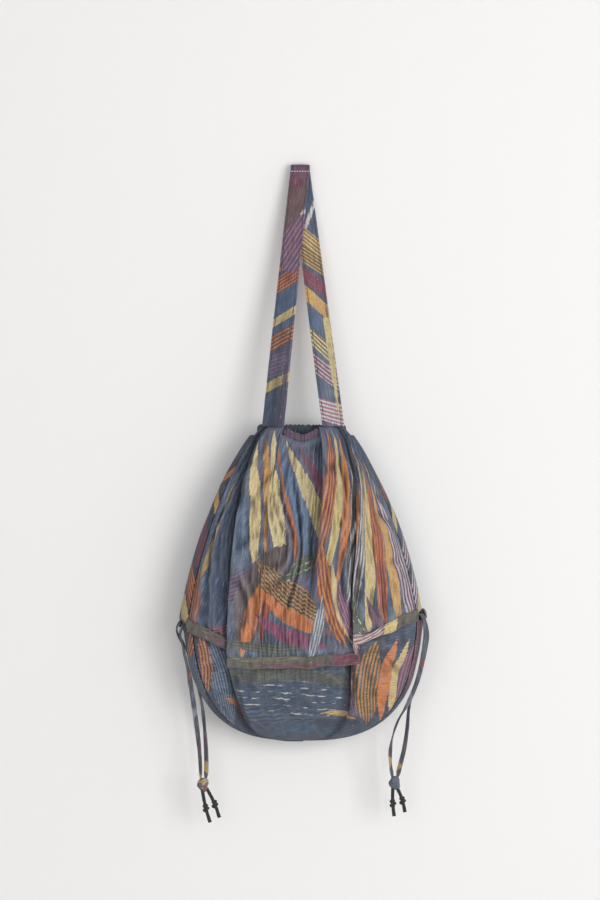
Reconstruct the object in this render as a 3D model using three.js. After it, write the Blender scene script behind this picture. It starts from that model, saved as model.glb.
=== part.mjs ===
// A cloth drawstring shoulder bag, hanging by its strap. Millimetres, +Z up, the front faces -Y.
// The origin is where a peg bears on the underside of the strap's top fold.

import * as THREE from "three";

// Whole bag
const MOUTH_Z = -341;
const WAIST_Z = -600;
const BOTTOM_Z = -749;
const CENTRE_X = 4;
const CENTRE_Y = -46;

// Cloth and the small clearances between sewn pieces
const CLOTH = 2.4;
const SEAM_GAP = 0.3;
const BACK_SHIFT = 0.45;

// Half widths, left and right of the centre plane
const MOUTH_LEFT = 58;
const MOUTH_RIGHT = 54;
const WAIST_LEFT = 163;
const WAIST_RIGHT = 158;
const BOWL_LEFT = 156;
const BOWL_RIGHT = 155;
const BOWL_TAPER = 0.1;
const SIDE_FULLNESS = 1.32;
const SIDE_SWELL = 0.62;

// Depths in front of and behind the centre
const MOUTH_FRONT = 25;
const MOUTH_BACK = 20;
const WAIST_FRONT = 66;
const WAIST_BACK = 40;
const BOWL_TUCK = 5;
const SIDE_DROP = 2.4;

// Exponents of the rounded sections and outlines
const PLAN_ROUNDNESS = 2.4;
const BOWL_ROUNDNESS = 2.8;
const KEEL_ROUNDNESS = 2.3;

// Side seams and fold lines as shares of the half width: at the waist, added at the mouth, and how fast that fades
const LINES = [
  { waist: -0.93, mouth: 0, ease: 1, bottom: 0 },
  { waist: -0.565, mouth: -0.235, ease: 2.2, bottom: -0.37 },
  { waist: -0.33, mouth: -0.09, ease: 1.6, bottom: -0.2 },
  { waist: 0.03, mouth: 0.36, ease: 1.6, bottom: 0.12 },
  { waist: 0.43, mouth: 0.42, ease: 1.8, bottom: 0.2 },
  { waist: 0.955, mouth: 0, ease: 1, bottom: 0 },
];
const SPAN_STEPS = [9, 5, 11, 9, 9];
const LEFT_SEAM = -LINES[0].waist;
const RIGHT_SEAM = LINES[5].waist;

// Height of the waist seam's middle at both ends of each span between two lines
const WAIST_LINE = [
  [-597, -622],
  [-644, -645],
  [-645, -644],
  [-644, -640],
  [-615, -584],
];
const CHANNEL_HEIGHT = 15;
const CHANNEL_OUT = 2;
const CHANNEL_DEPTH = 9;
const CHANNEL_WALL = 1.9;
const RIBBON_WIDTH = 9.4;
const RIBBON_THICKNESS = 2.4;
const CHANNEL_MOUTH = 0.16;

// Knife pleats: how far the cloth stands out at a span's left and right end, and what of that is lost by the waist
const PLEATS = [
  { left: 0, right: -9, leftFade: 0, rightFade: 0 },
  { left: 4, right: 1, leftFade: 0, rightFade: 0 },
  { left: 1, right: -7, leftFade: 0, rightFade: 0.85 },
  { left: 5, right: -3, leftFade: 0.85, rightFade: 0.7 },
  { left: 3, right: 0, leftFade: 0, rightFade: 0 },
];
const PLEAT_AT_MOUTH = 0.35;
const PLEAT_GROWTH = 1.3;
const PLEAT_LOST_IN_BOWL = 0.8;
const GATHERS = [1, 1, 3, 2, 3];
const GATHER_DEPTH = 1.8;
const BACK_GATHERS = 7;

// Mouth casing and its elastic
const CASING_HEIGHT = 12;
const CASING_DIP = 9;
const CASING_WALL = 1.4;
const ELASTIC_WIDTH = 8.6;
const ELASTIC_THICKNESS = 3;
const RUCHES_FRONT = 9;
const RUCHES_BACK = 18;
const RUCHE_STEPS = 3;
const RUCHE_DEPTH = 2.2;
const HEM_START = 0.035;

// Shoulder strap
const STRAP_WIDTH = 25;
const STRAP_FOOT_WIDTH = 30;
const STRAP_THICKNESS = 2.6;
const FOLD_RADIUS = 4;
const STRAP_LEFT_FOOT = [-36.5, -67.5];
const STRAP_RIGHT_FOOT = [41.5, -67.5];
const STRAP_FOOT_TURN = 0.42;
const STRAP_CREASE = 3;

// Side ties: each hangs from an end of a channel's ribbon to the knot of its side
const TIE_DIAMETER = 5;
const TIE_STEP = 14;
const KNOT_SIZE = [15, 12, 18];
const KNOT_LEFT = [-126, -50, -806];
const KNOT_RIGHT = [123, -50, -804];
const KNOT_ENTRY = 3.2;
const ROUTES = {
  tie_left_front: [[-155, -76, -607], [-151, -76, -630], [-145, -73, -656], [-140, -68, -688], [-135, -60, -724],
    [-131, -54, -760], [-129.5, -50.5, -786]],
  tie_left_back: [[-161, -32, -606], [-150, -22, -630], [-139, -19, -662], [-129, -23, -700], [-124, -34, -742],
    [-122, -46, -782]],
  tie_right_front: [[160, -71, -590], [160, -74, -630], [152, -76, -668], [140, -72, -698], [126, -65, -724],
    [118, -57, -752], [117, -53, -776]],
  tie_right_back: [[164, -57, -603], [162, -50, -640], [152, -44, -670], [142, -40, -704], [139, -44, -734],
    [135, -48, -760], [129, -50, -784]],
};
const TAIL_DIAMETER = 5.4;
const STOPPER_DIAMETER = 9;
const STOPPER_LENGTH = 8;
const STOPPER_SHARE = 0.45;
const TAILS = {
  tail_left_front: { knot: KNOT_LEFT, start: -1.2, end: [-117, -52, -855] },
  tail_left_back: { knot: KNOT_LEFT, start: 5, end: [-105, -48, -849] },
  tail_right_front: { knot: KNOT_RIGHT, start: -3, end: [122, -52, -847] },
  tail_right_back: { knot: KNOT_RIGHT, start: 3.2, end: [136, -48, -842] },
};

const PRINT_BLUE = 0x566a80;
const PRINT_PLUM = 0x8a4a5e;
const PRINT_OLIVE = 0x6a6a58;
const PRINT_NAVY = 0x3c4656;
const PRINT_STRAW = 0xe8d79a;
const TAIL_BLACK = 0x2a2e2c;
const ELASTIC_WHITE = 0xe8e6e0;

const { lerp, clamp } = THREE.MathUtils;

function cloth(color) {
  return new THREE.MeshStandardMaterial({ color, roughness: 0.95, metalness: 0, side: THREE.DoubleSide });
}

// Closed solid between an outer and an inner grid of points. Rows of one point are poles.
function gridSolid(outer, inner) {
  const corners = [];
  const quad = (a, b, c, d) => {
    const loop = [a, b, c, d].filter((p, i, all) => p !== all[(i + 1) % all.length]);
    for (let i = 1; i + 1 < loop.length; i += 1) corners.push(loop[0], loop[i], loop[i + 1]);
  };
  const rows = outer.length - 1;
  const columns = outer[0].length - 1;
  for (let r = 0; r < rows; r += 1) {
    for (let c = 0; c < columns; c += 1) {
      quad(outer[r][c], outer[r + 1][c], outer[r + 1][c + 1], outer[r][c + 1]);
      quad(inner[r][c], inner[r][c + 1], inner[r + 1][c + 1], inner[r + 1][c]);
    }
    quad(outer[r][0], inner[r][0], inner[r + 1][0], outer[r + 1][0]);
    quad(outer[r][columns], outer[r + 1][columns], inner[r + 1][columns], inner[r][columns]);
  }
  for (let c = 0; c < columns; c += 1) {
    quad(outer[0][c], outer[0][c + 1], inner[0][c + 1], inner[0][c]);
    if (outer[rows][c] !== outer[rows][c + 1]) {
      quad(outer[rows][c], inner[rows][c], inner[rows][c + 1], outer[rows][c + 1]);
    }
  }
  return trianglesToGeometry(corners);
}

// Closed solid swept through equal sections, each a closed loop of points, with flat ends.
function loopSolid(sections) {
  const corners = [];
  const count = sections[0].length;
  for (let s = 0; s + 1 < sections.length; s += 1) {
    for (let i = 0; i < count; i += 1) {
      const j = (i + 1) % count;
      const [a, b, c, d] = [sections[s][i], sections[s][j], sections[s + 1][j], sections[s + 1][i]];
      corners.push(a, c, b, a, d, c);
    }
  }
  const flat = sections[0].map((p) => p.plane);
  const first = sections[0];
  const last = sections[sections.length - 1];
  for (const [i, j, k] of THREE.ShapeUtils.triangulateShape(flat, [])) {
    corners.push(first[i], first[j], first[k], last[i], last[k], last[j]);
  }
  return trianglesToGeometry(corners);
}

function trianglesToGeometry(corners) {
  const positions = corners.flatMap((p) => [p.x, p.y, p.z]);
  const geometry = new THREE.BufferGeometry();
  geometry.setAttribute("position", new THREE.Float32BufferAttribute(positions, 3));
  geometry.computeVertexNormals();
  return geometry;
}

function ease(share) {
  return Math.sin((clamp(share, 0, 1) * Math.PI) / 2);
}

function rounded(share, exponent) {
  return Math.pow(Math.max(0, 1 - Math.pow(Math.abs(share), exponent)), 1 / exponent);
}

// Half widths and depths of the bag's section at a height
function upperSection(z) {
  const share = downShare(z);
  const swell = lerp(share, ease(Math.pow(share, 1 / SIDE_FULLNESS)), SIDE_SWELL);
  return {
    left: lerp(MOUTH_LEFT, WAIST_LEFT, swell),
    right: lerp(MOUTH_RIGHT, WAIST_RIGHT, swell),
    front: lerp(MOUTH_FRONT, WAIST_FRONT, ease(share)),
    back: lerp(MOUTH_BACK, WAIST_BACK, ease(share)),
  };
}

function lowerSection(z) {
  const share = bowlDepthShare(z);
  const taper = BOWL_TAPER * Math.max(0, WAIST_Z - z);
  const outline = rounded(share, BOWL_ROUNDNESS);
  const keel = rounded(share, KEEL_ROUNDNESS);
  return {
    left: (BOWL_LEFT - taper) * outline,
    right: (BOWL_RIGHT - taper) * outline,
    front: (WAIST_FRONT - BOWL_TUCK) * keel,
    back: (WAIST_BACK - BOWL_TUCK) * keel,
  };
}

// A point on the smooth front, by its share of the half width and its height
function frontPoint(section, share, z) {
  const { left, right, front } = section(z);
  const x = CENTRE_X + share * (share < 0 ? left : right);
  return new THREE.Vector3(x, CENTRE_Y - front * rounded(share, PLAN_ROUNDNESS), z);
}

// A point on the smooth back: 0 at the right seam, 1 at the left seam, round behind
const RIGHT_ANGLE = Math.acos(Math.pow(RIGHT_SEAM, PLAN_ROUNDNESS / 2));
const LEFT_ANGLE = Math.acos(Math.pow(LEFT_SEAM, PLAN_ROUNDNESS / 2));
function backPoint(section, share, z) {
  const { left, right, front, back } = section(z);
  const angle = lerp(-RIGHT_ANGLE, Math.PI + LEFT_ANGLE, share);
  const across = Math.pow(Math.abs(Math.cos(angle)), 2 / PLAN_ROUNDNESS);
  const deep = Math.pow(Math.abs(Math.sin(angle)), 2 / PLAN_ROUNDNESS);
  const x = CENTRE_X + (Math.cos(angle) < 0 ? -left : right) * across;
  const y = CENTRE_Y + (Math.sin(angle) < 0 ? -front : back) * deep;
  return new THREE.Vector3(x, y + BACK_SHIFT, z);
}

// The outward direction of a smooth surface, from its point at (share, z). It is level at a panel's sewn edge.
const LEVEL_EDGE = 5;
function outward(pointAt, share, z, fromEdge) {
  const aside = 0.004;
  const step = 0.3;
  const across = pointAt(share + aside, z).sub(pointAt(share - aside, z));
  const down = pointAt(share, z - step).sub(pointAt(share, z + step));
  const normal = down.cross(across).normalize();
  normal.z *= clamp(fromEdge * LEVEL_EDGE, 0, 1);
  return normal.normalize();
}

// Share of the half width of line k at height share v above the waist, or below it
function upperLine(k, v) {
  const line = LINES[k];
  return line.waist + line.mouth * Math.pow(1 - clamp(v, 0, 1), line.ease);
}
function lowerLine(k, v) {
  const line = LINES[k];
  return line.waist + line.bottom * v * v;
}

// The front's columns: two close ones at each fold line, evenly spread between them
const FOLD_STEP = 0.012;
function frontColumns() {
  const columns = [];
  SPAN_STEPS.forEach((steps, span) => {
    for (let i = 0; i <= steps; i += 1) columns.push({ span, along: i / steps });
  });
  return columns;
}
const COLUMNS = frontColumns();

function columnShare(lineAt, { span, along }, v) {
  const first = lineAt(span, v) + (span > 0 ? FOLD_STEP / 2 : 0);
  const last = lineAt(span + 1, v) - (span + 2 < LINES.length ? FOLD_STEP / 2 : 0);
  return lerp(first, last, along);
}

function waistHeight({ span, along }) {
  return lerp(WAIST_LINE[span][0], WAIST_LINE[span][1], along);
}

// How far down a height is from the mouth to the waist, and from the waist to the bottom, 0 to 1
const downShare = (z) => clamp((MOUTH_Z - z) / (MOUTH_Z - WAIST_Z), 0, 1);
const bowlDepthShare = (z) => clamp((WAIST_Z - z) / (WAIST_Z - BOTTOM_Z), 0, 1);

// Shallow gathers that start at the hem and are gone at the waist
function gatherRelief(count, along, z) {
  const ripple = Math.cos(2 * Math.PI * count * along) - 1;
  return GATHER_DEPTH * ripple * (1 - downShare(z)) * Math.sin(Math.PI * along);
}

// How far the pleated cloth stands out of the smooth form, by column and by height
function pleatRelief({ span, along }, z) {
  const { left, right, leftFade, rightFade } = PLEATS[span];
  const down = downShare(z);
  const start = left * (1 - leftFade * down) * Math.pow(1 - along, 2.5);
  const finish = right * (1 - rightFade * down) * Math.pow(along, 2);
  const depth = Math.min(1, PLEAT_AT_MOUTH + PLEAT_GROWTH * down) * (1 - PLEAT_LOST_IN_BOWL * bowlDepthShare(z));
  return (start + finish) * depth + gatherRelief(GATHERS[span], along, z);
}

function backRelief(share, z) {
  return gatherRelief(BACK_GATHERS, share, z);
}

// Front edge of the mouth: under the strap's feet it is level, between them it carries the casing and dips
function isCased({ span }) {
  return span === 2;
}
function frontRim({ along }) {
  return MOUTH_Z - 2 - CASING_DIP * Math.pow(Math.sin(Math.PI * along), 1.5);
}
function upperTop(column) {
  return isCased(column) ? frontRim(column) - CASING_HEIGHT - SEAM_GAP : MOUTH_Z;
}

function upperFrontGrid(v, offset) {
  return COLUMNS.map((column) => {
    const bottom = waistHeight(column) + CHANNEL_HEIGHT / 2 + SEAM_GAP;
    const z = lerp(upperTop(column), bottom, v);
    const smooth = (u, w) => frontPoint(upperSection, u, w);
    const share = columnShare(upperLine, column, v);
    const normal = outward(smooth, share, z, Math.min(v, 1 - v));
    return smooth(share, z).addScaledVector(normal, pleatRelief(column, z) - offset);
  });
}

function upperFrontPanel() {
  const rows = 13;
  const outer = [];
  const inner = [];
  for (let r = 0; r <= rows; r += 1) {
    outer.push(upperFrontGrid(r / rows, 0));
    inner.push(upperFrontGrid(r / rows, CLOTH));
  }
  return gridSolid(outer, inner);
}

// The bowl's columns start right under the upper panel's, away from the side seams, and drift to their own lines
function bowlShare(column, z, v) {
  const own = columnShare(lowerLine, column, v);
  const waistShare = columnShare(upperLine, column, 1);
  const upper = (u, w) => frontPoint(upperSection, u, w);
  const above = upper(waistShare, z).addScaledVector(outward(upper, waistShare, WAIST_Z, 0), -BOWL_TUCK).x - CENTRE_X;
  const { left, right } = lowerSection(z);
  const held = above / Math.max(above < 0 ? left : right, 1);
  return lerp(own, held, fromSeam(column) * Math.pow(1 - v, 3));
}

// 0 at a side seam, 1 from the nearest fold line inwards
function fromSeam({ span, along }) {
  if (span === 0) return along;
  return span === LINES.length - 2 ? 1 - along : 1;
}

function lowerFrontGrid(v, offset) {
  return COLUMNS.map((column) => {
    const top = waistHeight(column) - CHANNEL_HEIGHT / 2 - SEAM_GAP - SIDE_DROP * (1 - fromSeam(column));
    const z = lerp(top, BOTTOM_Z, ease(v));
    const smooth = (u, w) => frontPoint(lowerSection, u, w);
    const share = bowlShare(column, z, v);
    const normal = outward(smooth, share, z, v);
    return smooth(share, z).addScaledVector(normal, pleatRelief(column, z) - offset);
  });
}

// Replaces a grid's last row with one point
function closeToPole(grid, pole) {
  grid.push(grid[0].map(() => pole));
}

function bowlPole(shift, offset) {
  return new THREE.Vector3(CENTRE_X, CENTRE_Y + shift, BOTTOM_Z + offset);
}

const BOWL_ROWS = [0, 0.16, 0.32, 0.48, 0.64, 0.78, 0.89, 0.96];

function lowerFrontPanel() {
  const outer = BOWL_ROWS.map((v) => lowerFrontGrid(v, 0));
  const inner = BOWL_ROWS.map((v) => lowerFrontGrid(v, CLOTH));
  closeToPole(outer, bowlPole(-SEAM_GAP, 0));
  closeToPole(inner, bowlPole(-SEAM_GAP, CLOTH));
  return gridSolid(outer, inner);
}

// Back panels run from the right seam round behind to the left seam
const BACK_COLUMNS = 25;
function backWaist(share) {
  return lerp(WAIST_LINE[4][1], WAIST_LINE[0][0], share);
}

function backGrid(section, rowHeight, v, offset, relief) {
  const row = [];
  for (let c = 0; c <= BACK_COLUMNS; c += 1) {
    const share = c / BACK_COLUMNS;
    const z = rowHeight(share, v);
    const smooth = (u, w) => backPoint(section, clamp(u, 0, 1), w);
    const normal = outward(smooth, share, z, section === upperSection ? Math.min(v, 1 - v) : v);
    row.push(smooth(share, z).addScaledVector(normal, relief(share, z) - offset));
  }
  return row;
}

function upperBackPanel() {
  const rows = 9;
  const height = (share, v) => {
    const top = MOUTH_Z - CASING_HEIGHT - SEAM_GAP;
    return lerp(top, backWaist(share) + CHANNEL_HEIGHT / 2 + SEAM_GAP, v);
  };
  const outer = [];
  const inner = [];
  for (let r = 0; r <= rows; r += 1) {
    outer.push(backGrid(upperSection, height, r / rows, 0, backRelief));
    inner.push(backGrid(upperSection, height, r / rows, CLOTH, backRelief));
  }
  return gridSolid(outer, inner);
}

function lowerBackPanel() {
  const flat = () => 0;
  const drop = (share) => SEAM_GAP + SIDE_DROP * (1 - Math.sin(Math.PI * share));
  const height = (share, v) => lerp(backWaist(share) - CHANNEL_HEIGHT / 2 - drop(share), BOTTOM_Z, ease(v));
  const outer = BOWL_ROWS.map((v) => backGrid(lowerSection, height, v, 0, flat));
  const inner = BOWL_ROWS.map((v) => backGrid(lowerSection, height, v, CLOTH, flat));
  closeToPole(outer, bowlPole(BACK_SHIFT, 0));
  closeToPole(inner, bowlPole(BACK_SHIFT, CLOTH));
  return gridSolid(outer, inner);
}

// A section loop from [outward, upward] corners, placed at a point with an outward direction
function placeSection(corners, origin, direction) {
  return corners.map(([out, up]) => {
    const point = origin.clone().addScaledVector(direction, out);
    point.z += up;
    point.plane = new THREE.Vector2(out, up);
    return point;
  });
}

function box(outer, inner, bottom, top) {
  return [
    [inner, bottom],
    [outer, bottom],
    [outer, top],
    [inner, top],
  ];
}

// Stations along the waist, each with a point on the smooth form and its outward direction
function frontStations() {
  return COLUMNS.map((column) => {
    const z = waistHeight(column);
    const smooth = (u, w) => frontPoint(upperSection, u, w);
    const share = columnShare(upperLine, column, 1);
    const direction = outward(smooth, share, WAIST_Z, 0);
    const relief = pleatRelief(column, z);
    return { origin: smooth(share, z).addScaledVector(direction, relief), direction };
  });
}

function backStations(from, to, count, heightAt) {
  const stations = [];
  for (let i = 0; i <= count; i += 1) {
    const share = lerp(from, to, i / count);
    const z = heightAt(share);
    const smooth = (u, w) => backPoint(upperSection, u, w);
    stations.push({ origin: smooth(share, z), direction: outward(smooth, share, z, 0) });
  }
  return stations;
}

const CHANNEL_IN = CHANNEL_OUT - CHANNEL_DEPTH;
const RIBBON_OUT = CHANNEL_OUT - CHANNEL_WALL;
const RIBBON_MIDDLE = RIBBON_OUT - SEAM_GAP - RIBBON_THICKNESS / 2;

// A flat tube open at both ends: an outer loop and an inner loop joined at the ends
function hollowBand(stations, outerCorners, innerCorners) {
  const corners = [];
  const quad = (a, b, c, d) => corners.push(a, c, b, a, d, c);
  const outer = stations.map(({ origin, direction }) => placeSection(outerCorners, origin, direction));
  const inner = stations.map(({ origin, direction }) => placeSection(innerCorners, origin, direction));
  const last = stations.length - 1;
  for (let i = 0; i < 4; i += 1) {
    const j = (i + 1) % 4;
    for (let s = 0; s < last; s += 1) {
      quad(outer[s][i], outer[s][j], outer[s + 1][j], outer[s + 1][i]);
      quad(inner[s][i], inner[s + 1][i], inner[s + 1][j], inner[s][j]);
    }
    quad(outer[0][i], inner[0][i], inner[0][j], outer[0][j]);
    quad(outer[last][i], outer[last][j], inner[last][j], inner[last][i]);
  }
  return trianglesToGeometry(corners);
}

function waistChannel(stations) {
  const half = CHANNEL_HEIGHT / 2;
  const voidHalf = RIBBON_WIDTH / 2 + SEAM_GAP;
  const voidInner = RIBBON_OUT - RIBBON_THICKNESS - 2 * SEAM_GAP;
  return hollowBand(
    stations,
    box(CHANNEL_OUT, CHANNEL_IN, -half, half),
    box(RIBBON_OUT, voidInner, -voidHalf, voidHalf),
  );
}

function drawstring(stations) {
  const half = RIBBON_WIDTH / 2;
  const section = box(RIBBON_MIDDLE + RIBBON_THICKNESS / 2, RIBBON_MIDDLE - RIBBON_THICKNESS / 2, -half, half);
  return loopSolid(stations.map(({ origin, direction }) => placeSection(section, origin, direction)));
}

// A folded hem: two walls and a top, open below, ruched on its outside
function casing(stations, ruches) {
  const steps = stations.length - 1;
  const inner = -(2 * CASING_WALL + ELASTIC_THICKNESS + 2 * SEAM_GAP);
  const sections = stations.map(({ origin, direction }, i) => {
    const pulled = (RUCHE_DEPTH / 2) * (1 - Math.cos((2 * Math.PI * ruches * i) / steps));
    const corners = [
      [0, -CASING_HEIGHT],
      [pulled, -CASING_HEIGHT / 2],
      [pulled / 2, pulled / 3],
      [inner - pulled / 3, pulled / 3],
      [inner, -CASING_HEIGHT],
      [inner + CASING_WALL, -CASING_HEIGHT],
      [inner + CASING_WALL, -CASING_WALL],
      [-CASING_WALL, -CASING_WALL],
      [-CASING_WALL, -CASING_HEIGHT],
    ];
    return placeSection(corners, origin, direction);
  });
  return loopSolid(sections);
}

function elastic(stations) {
  const out = -CASING_WALL - SEAM_GAP;
  const top = -CASING_WALL - SEAM_GAP;
  const section = box(out, out - ELASTIC_THICKNESS, top - ELASTIC_WIDTH, top);
  return loopSolid(stations.map(({ origin, direction }) => placeSection(section, origin, direction)));
}

function mouthFrontStations(steps) {
  const stations = [];
  for (let i = 0; i <= steps; i += 1) {
    const along = i / steps;
    const share = columnShare(upperLine, { span: 2, along }, 0);
    const z = frontRim({ along });
    const smooth = (u, w) => frontPoint(upperSection, u, w);
    const direction = outward(smooth, share, MOUTH_Z, 0);
    const origin = smooth(share, MOUTH_Z);
    origin.z = z;
    stations.push({ origin, direction });
  }
  return stations;
}

const mouthBackStations = (steps) => backStations(HEM_START, 1 - HEM_START, steps, () => MOUTH_Z);

// The strap is one flat band: up the left leg, over the fold, and down the right leg behind it.
// A lengthwise crease turns the inner edge back near the feet. The centre lies on the loop's outside.
function strapSection(centre, across, facing, width, crease) {
  const half = width / 2;
  const rim = [
    [-half, 0],
    [half / 3, crease],
    [half, -crease],
  ];
  const place = ([side, lift]) => {
    const point = centre.clone().addScaledVector(across, side).addScaledVector(facing, lift);
    point.plane = new THREE.Vector2(side, lift);
    return point;
  };
  const outside = rim.map(place);
  const inside = rim.map(([side, lift]) => place([side, lift - STRAP_THICKNESS]));
  return [...inside, ...outside.reverse()];
}

// A leg's sections from its foot up. The loop's outside faces front on the left leg and back on the right leg.
function strapLeg(foot, turn, facingSign) {
  const steps = 12;
  const outside = FOLD_RADIUS + STRAP_THICKNESS;
  const footShift = facingSign < 0 ? 0 : STRAP_THICKNESS;
  const sections = [];
  for (let i = 0; i <= steps; i += 1) {
    const share = i / steps;
    const top = new THREE.Vector3(0, facingSign * outside, -FOLD_RADIUS);
    const bottom = new THREE.Vector3(foot[0], foot[1] + footShift, MOUTH_Z + SEAM_GAP);
    const centre = bottom.lerp(top, share);
    const angle = turn * Math.pow(1 - share, 1.5);
    const across = new THREE.Vector3(Math.cos(angle), Math.sin(angle), 0);
    const facing = new THREE.Vector3(-across.y, across.x, 0).multiplyScalar(facingSign);
    const width = lerp(STRAP_FOOT_WIDTH, STRAP_WIDTH, share);
    sections.push(strapSection(centre, across, facing, width, STRAP_CREASE * Math.pow(1 - share, 2)));
  }
  return sections;
}

// The fold's half turn over the peg, between the two legs' top sections
function strapFold() {
  const steps = 8;
  const sections = [];
  const across = new THREE.Vector3(1, 0, 0);
  for (let i = 1; i < steps; i += 1) {
    const angle = (Math.PI * i) / steps;
    const facing = new THREE.Vector3(0, -Math.cos(angle), Math.sin(angle));
    const centre = new THREE.Vector3(0, 0, -FOLD_RADIUS).addScaledVector(facing, FOLD_RADIUS + STRAP_THICKNESS);
    sections.push(strapSection(centre, across, facing, STRAP_WIDTH, 0));
  }
  return sections;
}

function shoulderStrap() {
  const left = strapLeg(STRAP_LEFT_FOOT, -STRAP_FOOT_TURN, -1);
  const right = strapLeg(STRAP_RIGHT_FOOT, STRAP_FOOT_TURN, 1).reverse();
  return loopSolid([...left, ...strapFold(), ...right]);
}

// The free end of a channel's ribbon: its middle and the direction in which it leaves the channel
function ribbonEnd(stations, fromStart) {
  const [end, next] = fromStart ? [stations[0], stations[1]] : [stations.at(-1), stations.at(-2)];
  const middle = ({ origin, direction }) => origin.clone().addScaledVector(direction, RIBBON_MIDDLE);
  const leaving = new THREE.Vector3(-end.direction.y, end.direction.x, 0).normalize();
  if (leaving.dot(middle(end).sub(middle(next))) < 0) leaving.negate();
  return { point: middle(end), leaving };
}

// A free ribbon, drawn up into a round tube, from the channel's mouth down to the top of its knot
function tie(name, { point, leaving }, knot, entrySide) {
  const start = point.clone().addScaledVector(leaving, SEAM_GAP);
  const straight = start.clone().addScaledVector(leaving, TIE_DIAMETER / 4);
  const clear = start.clone().addScaledVector(leaving, TIE_DIAMETER);
  const entry = new THREE.Vector3(...knot);
  entry.x += entrySide * KNOT_ENTRY;
  entry.z += KNOT_SIZE[2] / 2 + SEAM_GAP;
  const points = [start, straight, clear, ...ROUTES[name].map((p) => new THREE.Vector3(...p)), entry];
  const path = new THREE.CatmullRomCurve3(points, false, "centripetal");
  const section = new THREE.Shape();
  for (let i = 0; i < 8; i += 1) {
    const angle = (i / 8) * 2 * Math.PI;
    const corner = [(TIE_DIAMETER / 2) * Math.cos(angle), (TIE_DIAMETER / 2) * Math.sin(angle)];
    if (i === 0) section.moveTo(...corner);
    else section.lineTo(...corner);
  }
  const steps = Math.round(path.getLength() / TIE_STEP);
  return new THREE.ExtrudeGeometry(section, { steps, extrudePath: path, bevelEnabled: false });
}

function knot(size) {
  const geometry = new THREE.SphereGeometry(0.5, 11, 8);
  geometry.scale(...size);
  return geometry;
}

// A cord end with its stopper knot, turned about its own length
function tail({ knot: [x, y, z], start, end }) {
  const radius = TAIL_DIAMETER / 2;
  const aside = start / (KNOT_SIZE[0] / 2);
  const bulge = Math.sqrt(1 - aside * aside);
  const top = new THREE.Vector3(x + start, y, z - (KNOT_SIZE[2] / 2) * bulge - SEAM_GAP);
  const down = new THREE.Vector3(...end).sub(top);
  const knotSlope = ((KNOT_SIZE[2] / KNOT_SIZE[0]) * aside) / bulge;
  const fall = (Math.abs(-down.x / down.z - knotSlope) * radius) / 2;
  top.z -= fall;
  down.z += fall;
  const length = down.length();
  const stopper = length * STOPPER_SHARE;
  const profile = [
    [0, 0],
    [radius, 0],
    [radius, stopper],
    [STOPPER_DIAMETER / 2, stopper + STOPPER_LENGTH / 4],
    [STOPPER_DIAMETER / 2, stopper + (STOPPER_LENGTH * 3) / 4],
    [radius, stopper + STOPPER_LENGTH],
    [radius, length],
    [0, length],
  ];
  const geometry = new THREE.LatheGeometry(profile.map(([r, h]) => new THREE.Vector2(r, h)), 10);
  const turn = new THREE.Quaternion().setFromUnitVectors(new THREE.Vector3(0, 1, 0), down.normalize());
  geometry.applyQuaternion(turn);
  geometry.translate(top.x, top.y, top.z);
  return geometry;
}

const root = new THREE.Group();
function add(name, geometry, color) {
  const mesh = new THREE.Mesh(geometry, cloth(color));
  mesh.name = name;
  root.add(mesh);
  return mesh;
}

const frontChannelStations = frontStations();
const backChannelStations = backStations(CHANNEL_MOUTH / 2, 1 - CHANNEL_MOUTH, 20, backWaist);

add("upper_front_panel", upperFrontPanel(), PRINT_BLUE);
add("upper_back_panel", upperBackPanel(), PRINT_NAVY);
add("lower_front_panel", lowerFrontPanel(), PRINT_BLUE);
add("lower_back_panel", lowerBackPanel(), PRINT_NAVY);
add("waist_channel_front", waistChannel(frontChannelStations), PRINT_OLIVE);
add("waist_channel_back", waistChannel(backChannelStations), PRINT_OLIVE);
add("drawstring_front", drawstring(frontChannelStations), PRINT_PLUM);
add("drawstring_back", drawstring(backChannelStations), PRINT_PLUM);
add("mouth_casing_front", casing(mouthFrontStations(RUCHES_FRONT * RUCHE_STEPS), RUCHES_FRONT), PRINT_PLUM);
add("mouth_casing_back", casing(mouthBackStations(RUCHES_BACK * RUCHE_STEPS), RUCHES_BACK), PRINT_NAVY);
add("mouth_elastic_front", elastic(mouthFrontStations(RUCHES_FRONT * 2)), ELASTIC_WHITE);
add("mouth_elastic_back", elastic(mouthBackStations(RUCHES_BACK * 2)), ELASTIC_WHITE);
add("shoulder_strap", shoulderStrap(), PRINT_STRAW);

const tieEnds = {
  tie_left_front: [ribbonEnd(frontChannelStations, true), KNOT_LEFT, -1],
  tie_left_back: [ribbonEnd(backChannelStations, false), KNOT_LEFT, 1],
  tie_right_front: [ribbonEnd(frontChannelStations, false), KNOT_RIGHT, -1],
  tie_right_back: [ribbonEnd(backChannelStations, true), KNOT_RIGHT, 1],
};
for (const [name, [end, knotPlace, side]] of Object.entries(tieEnds)) {
  add(name, tie(name, end, knotPlace, side), PRINT_PLUM);
}
add("knot_left", knot(KNOT_SIZE), PRINT_STRAW).position.set(...KNOT_LEFT);
add("knot_right", knot(KNOT_SIZE), PRINT_BLUE).position.set(...KNOT_RIGHT);
for (const [name, placed] of Object.entries(TAILS)) add(name, tail(placed), TAIL_BLACK);

export default root;
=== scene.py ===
"""A printed cotton drawstring shoulder bag that hangs by its strap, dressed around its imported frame."""

import logging
import math
from dataclasses import dataclass, field
from enum import Enum
from functools import partial
from typing import Callable, Sequence

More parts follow.
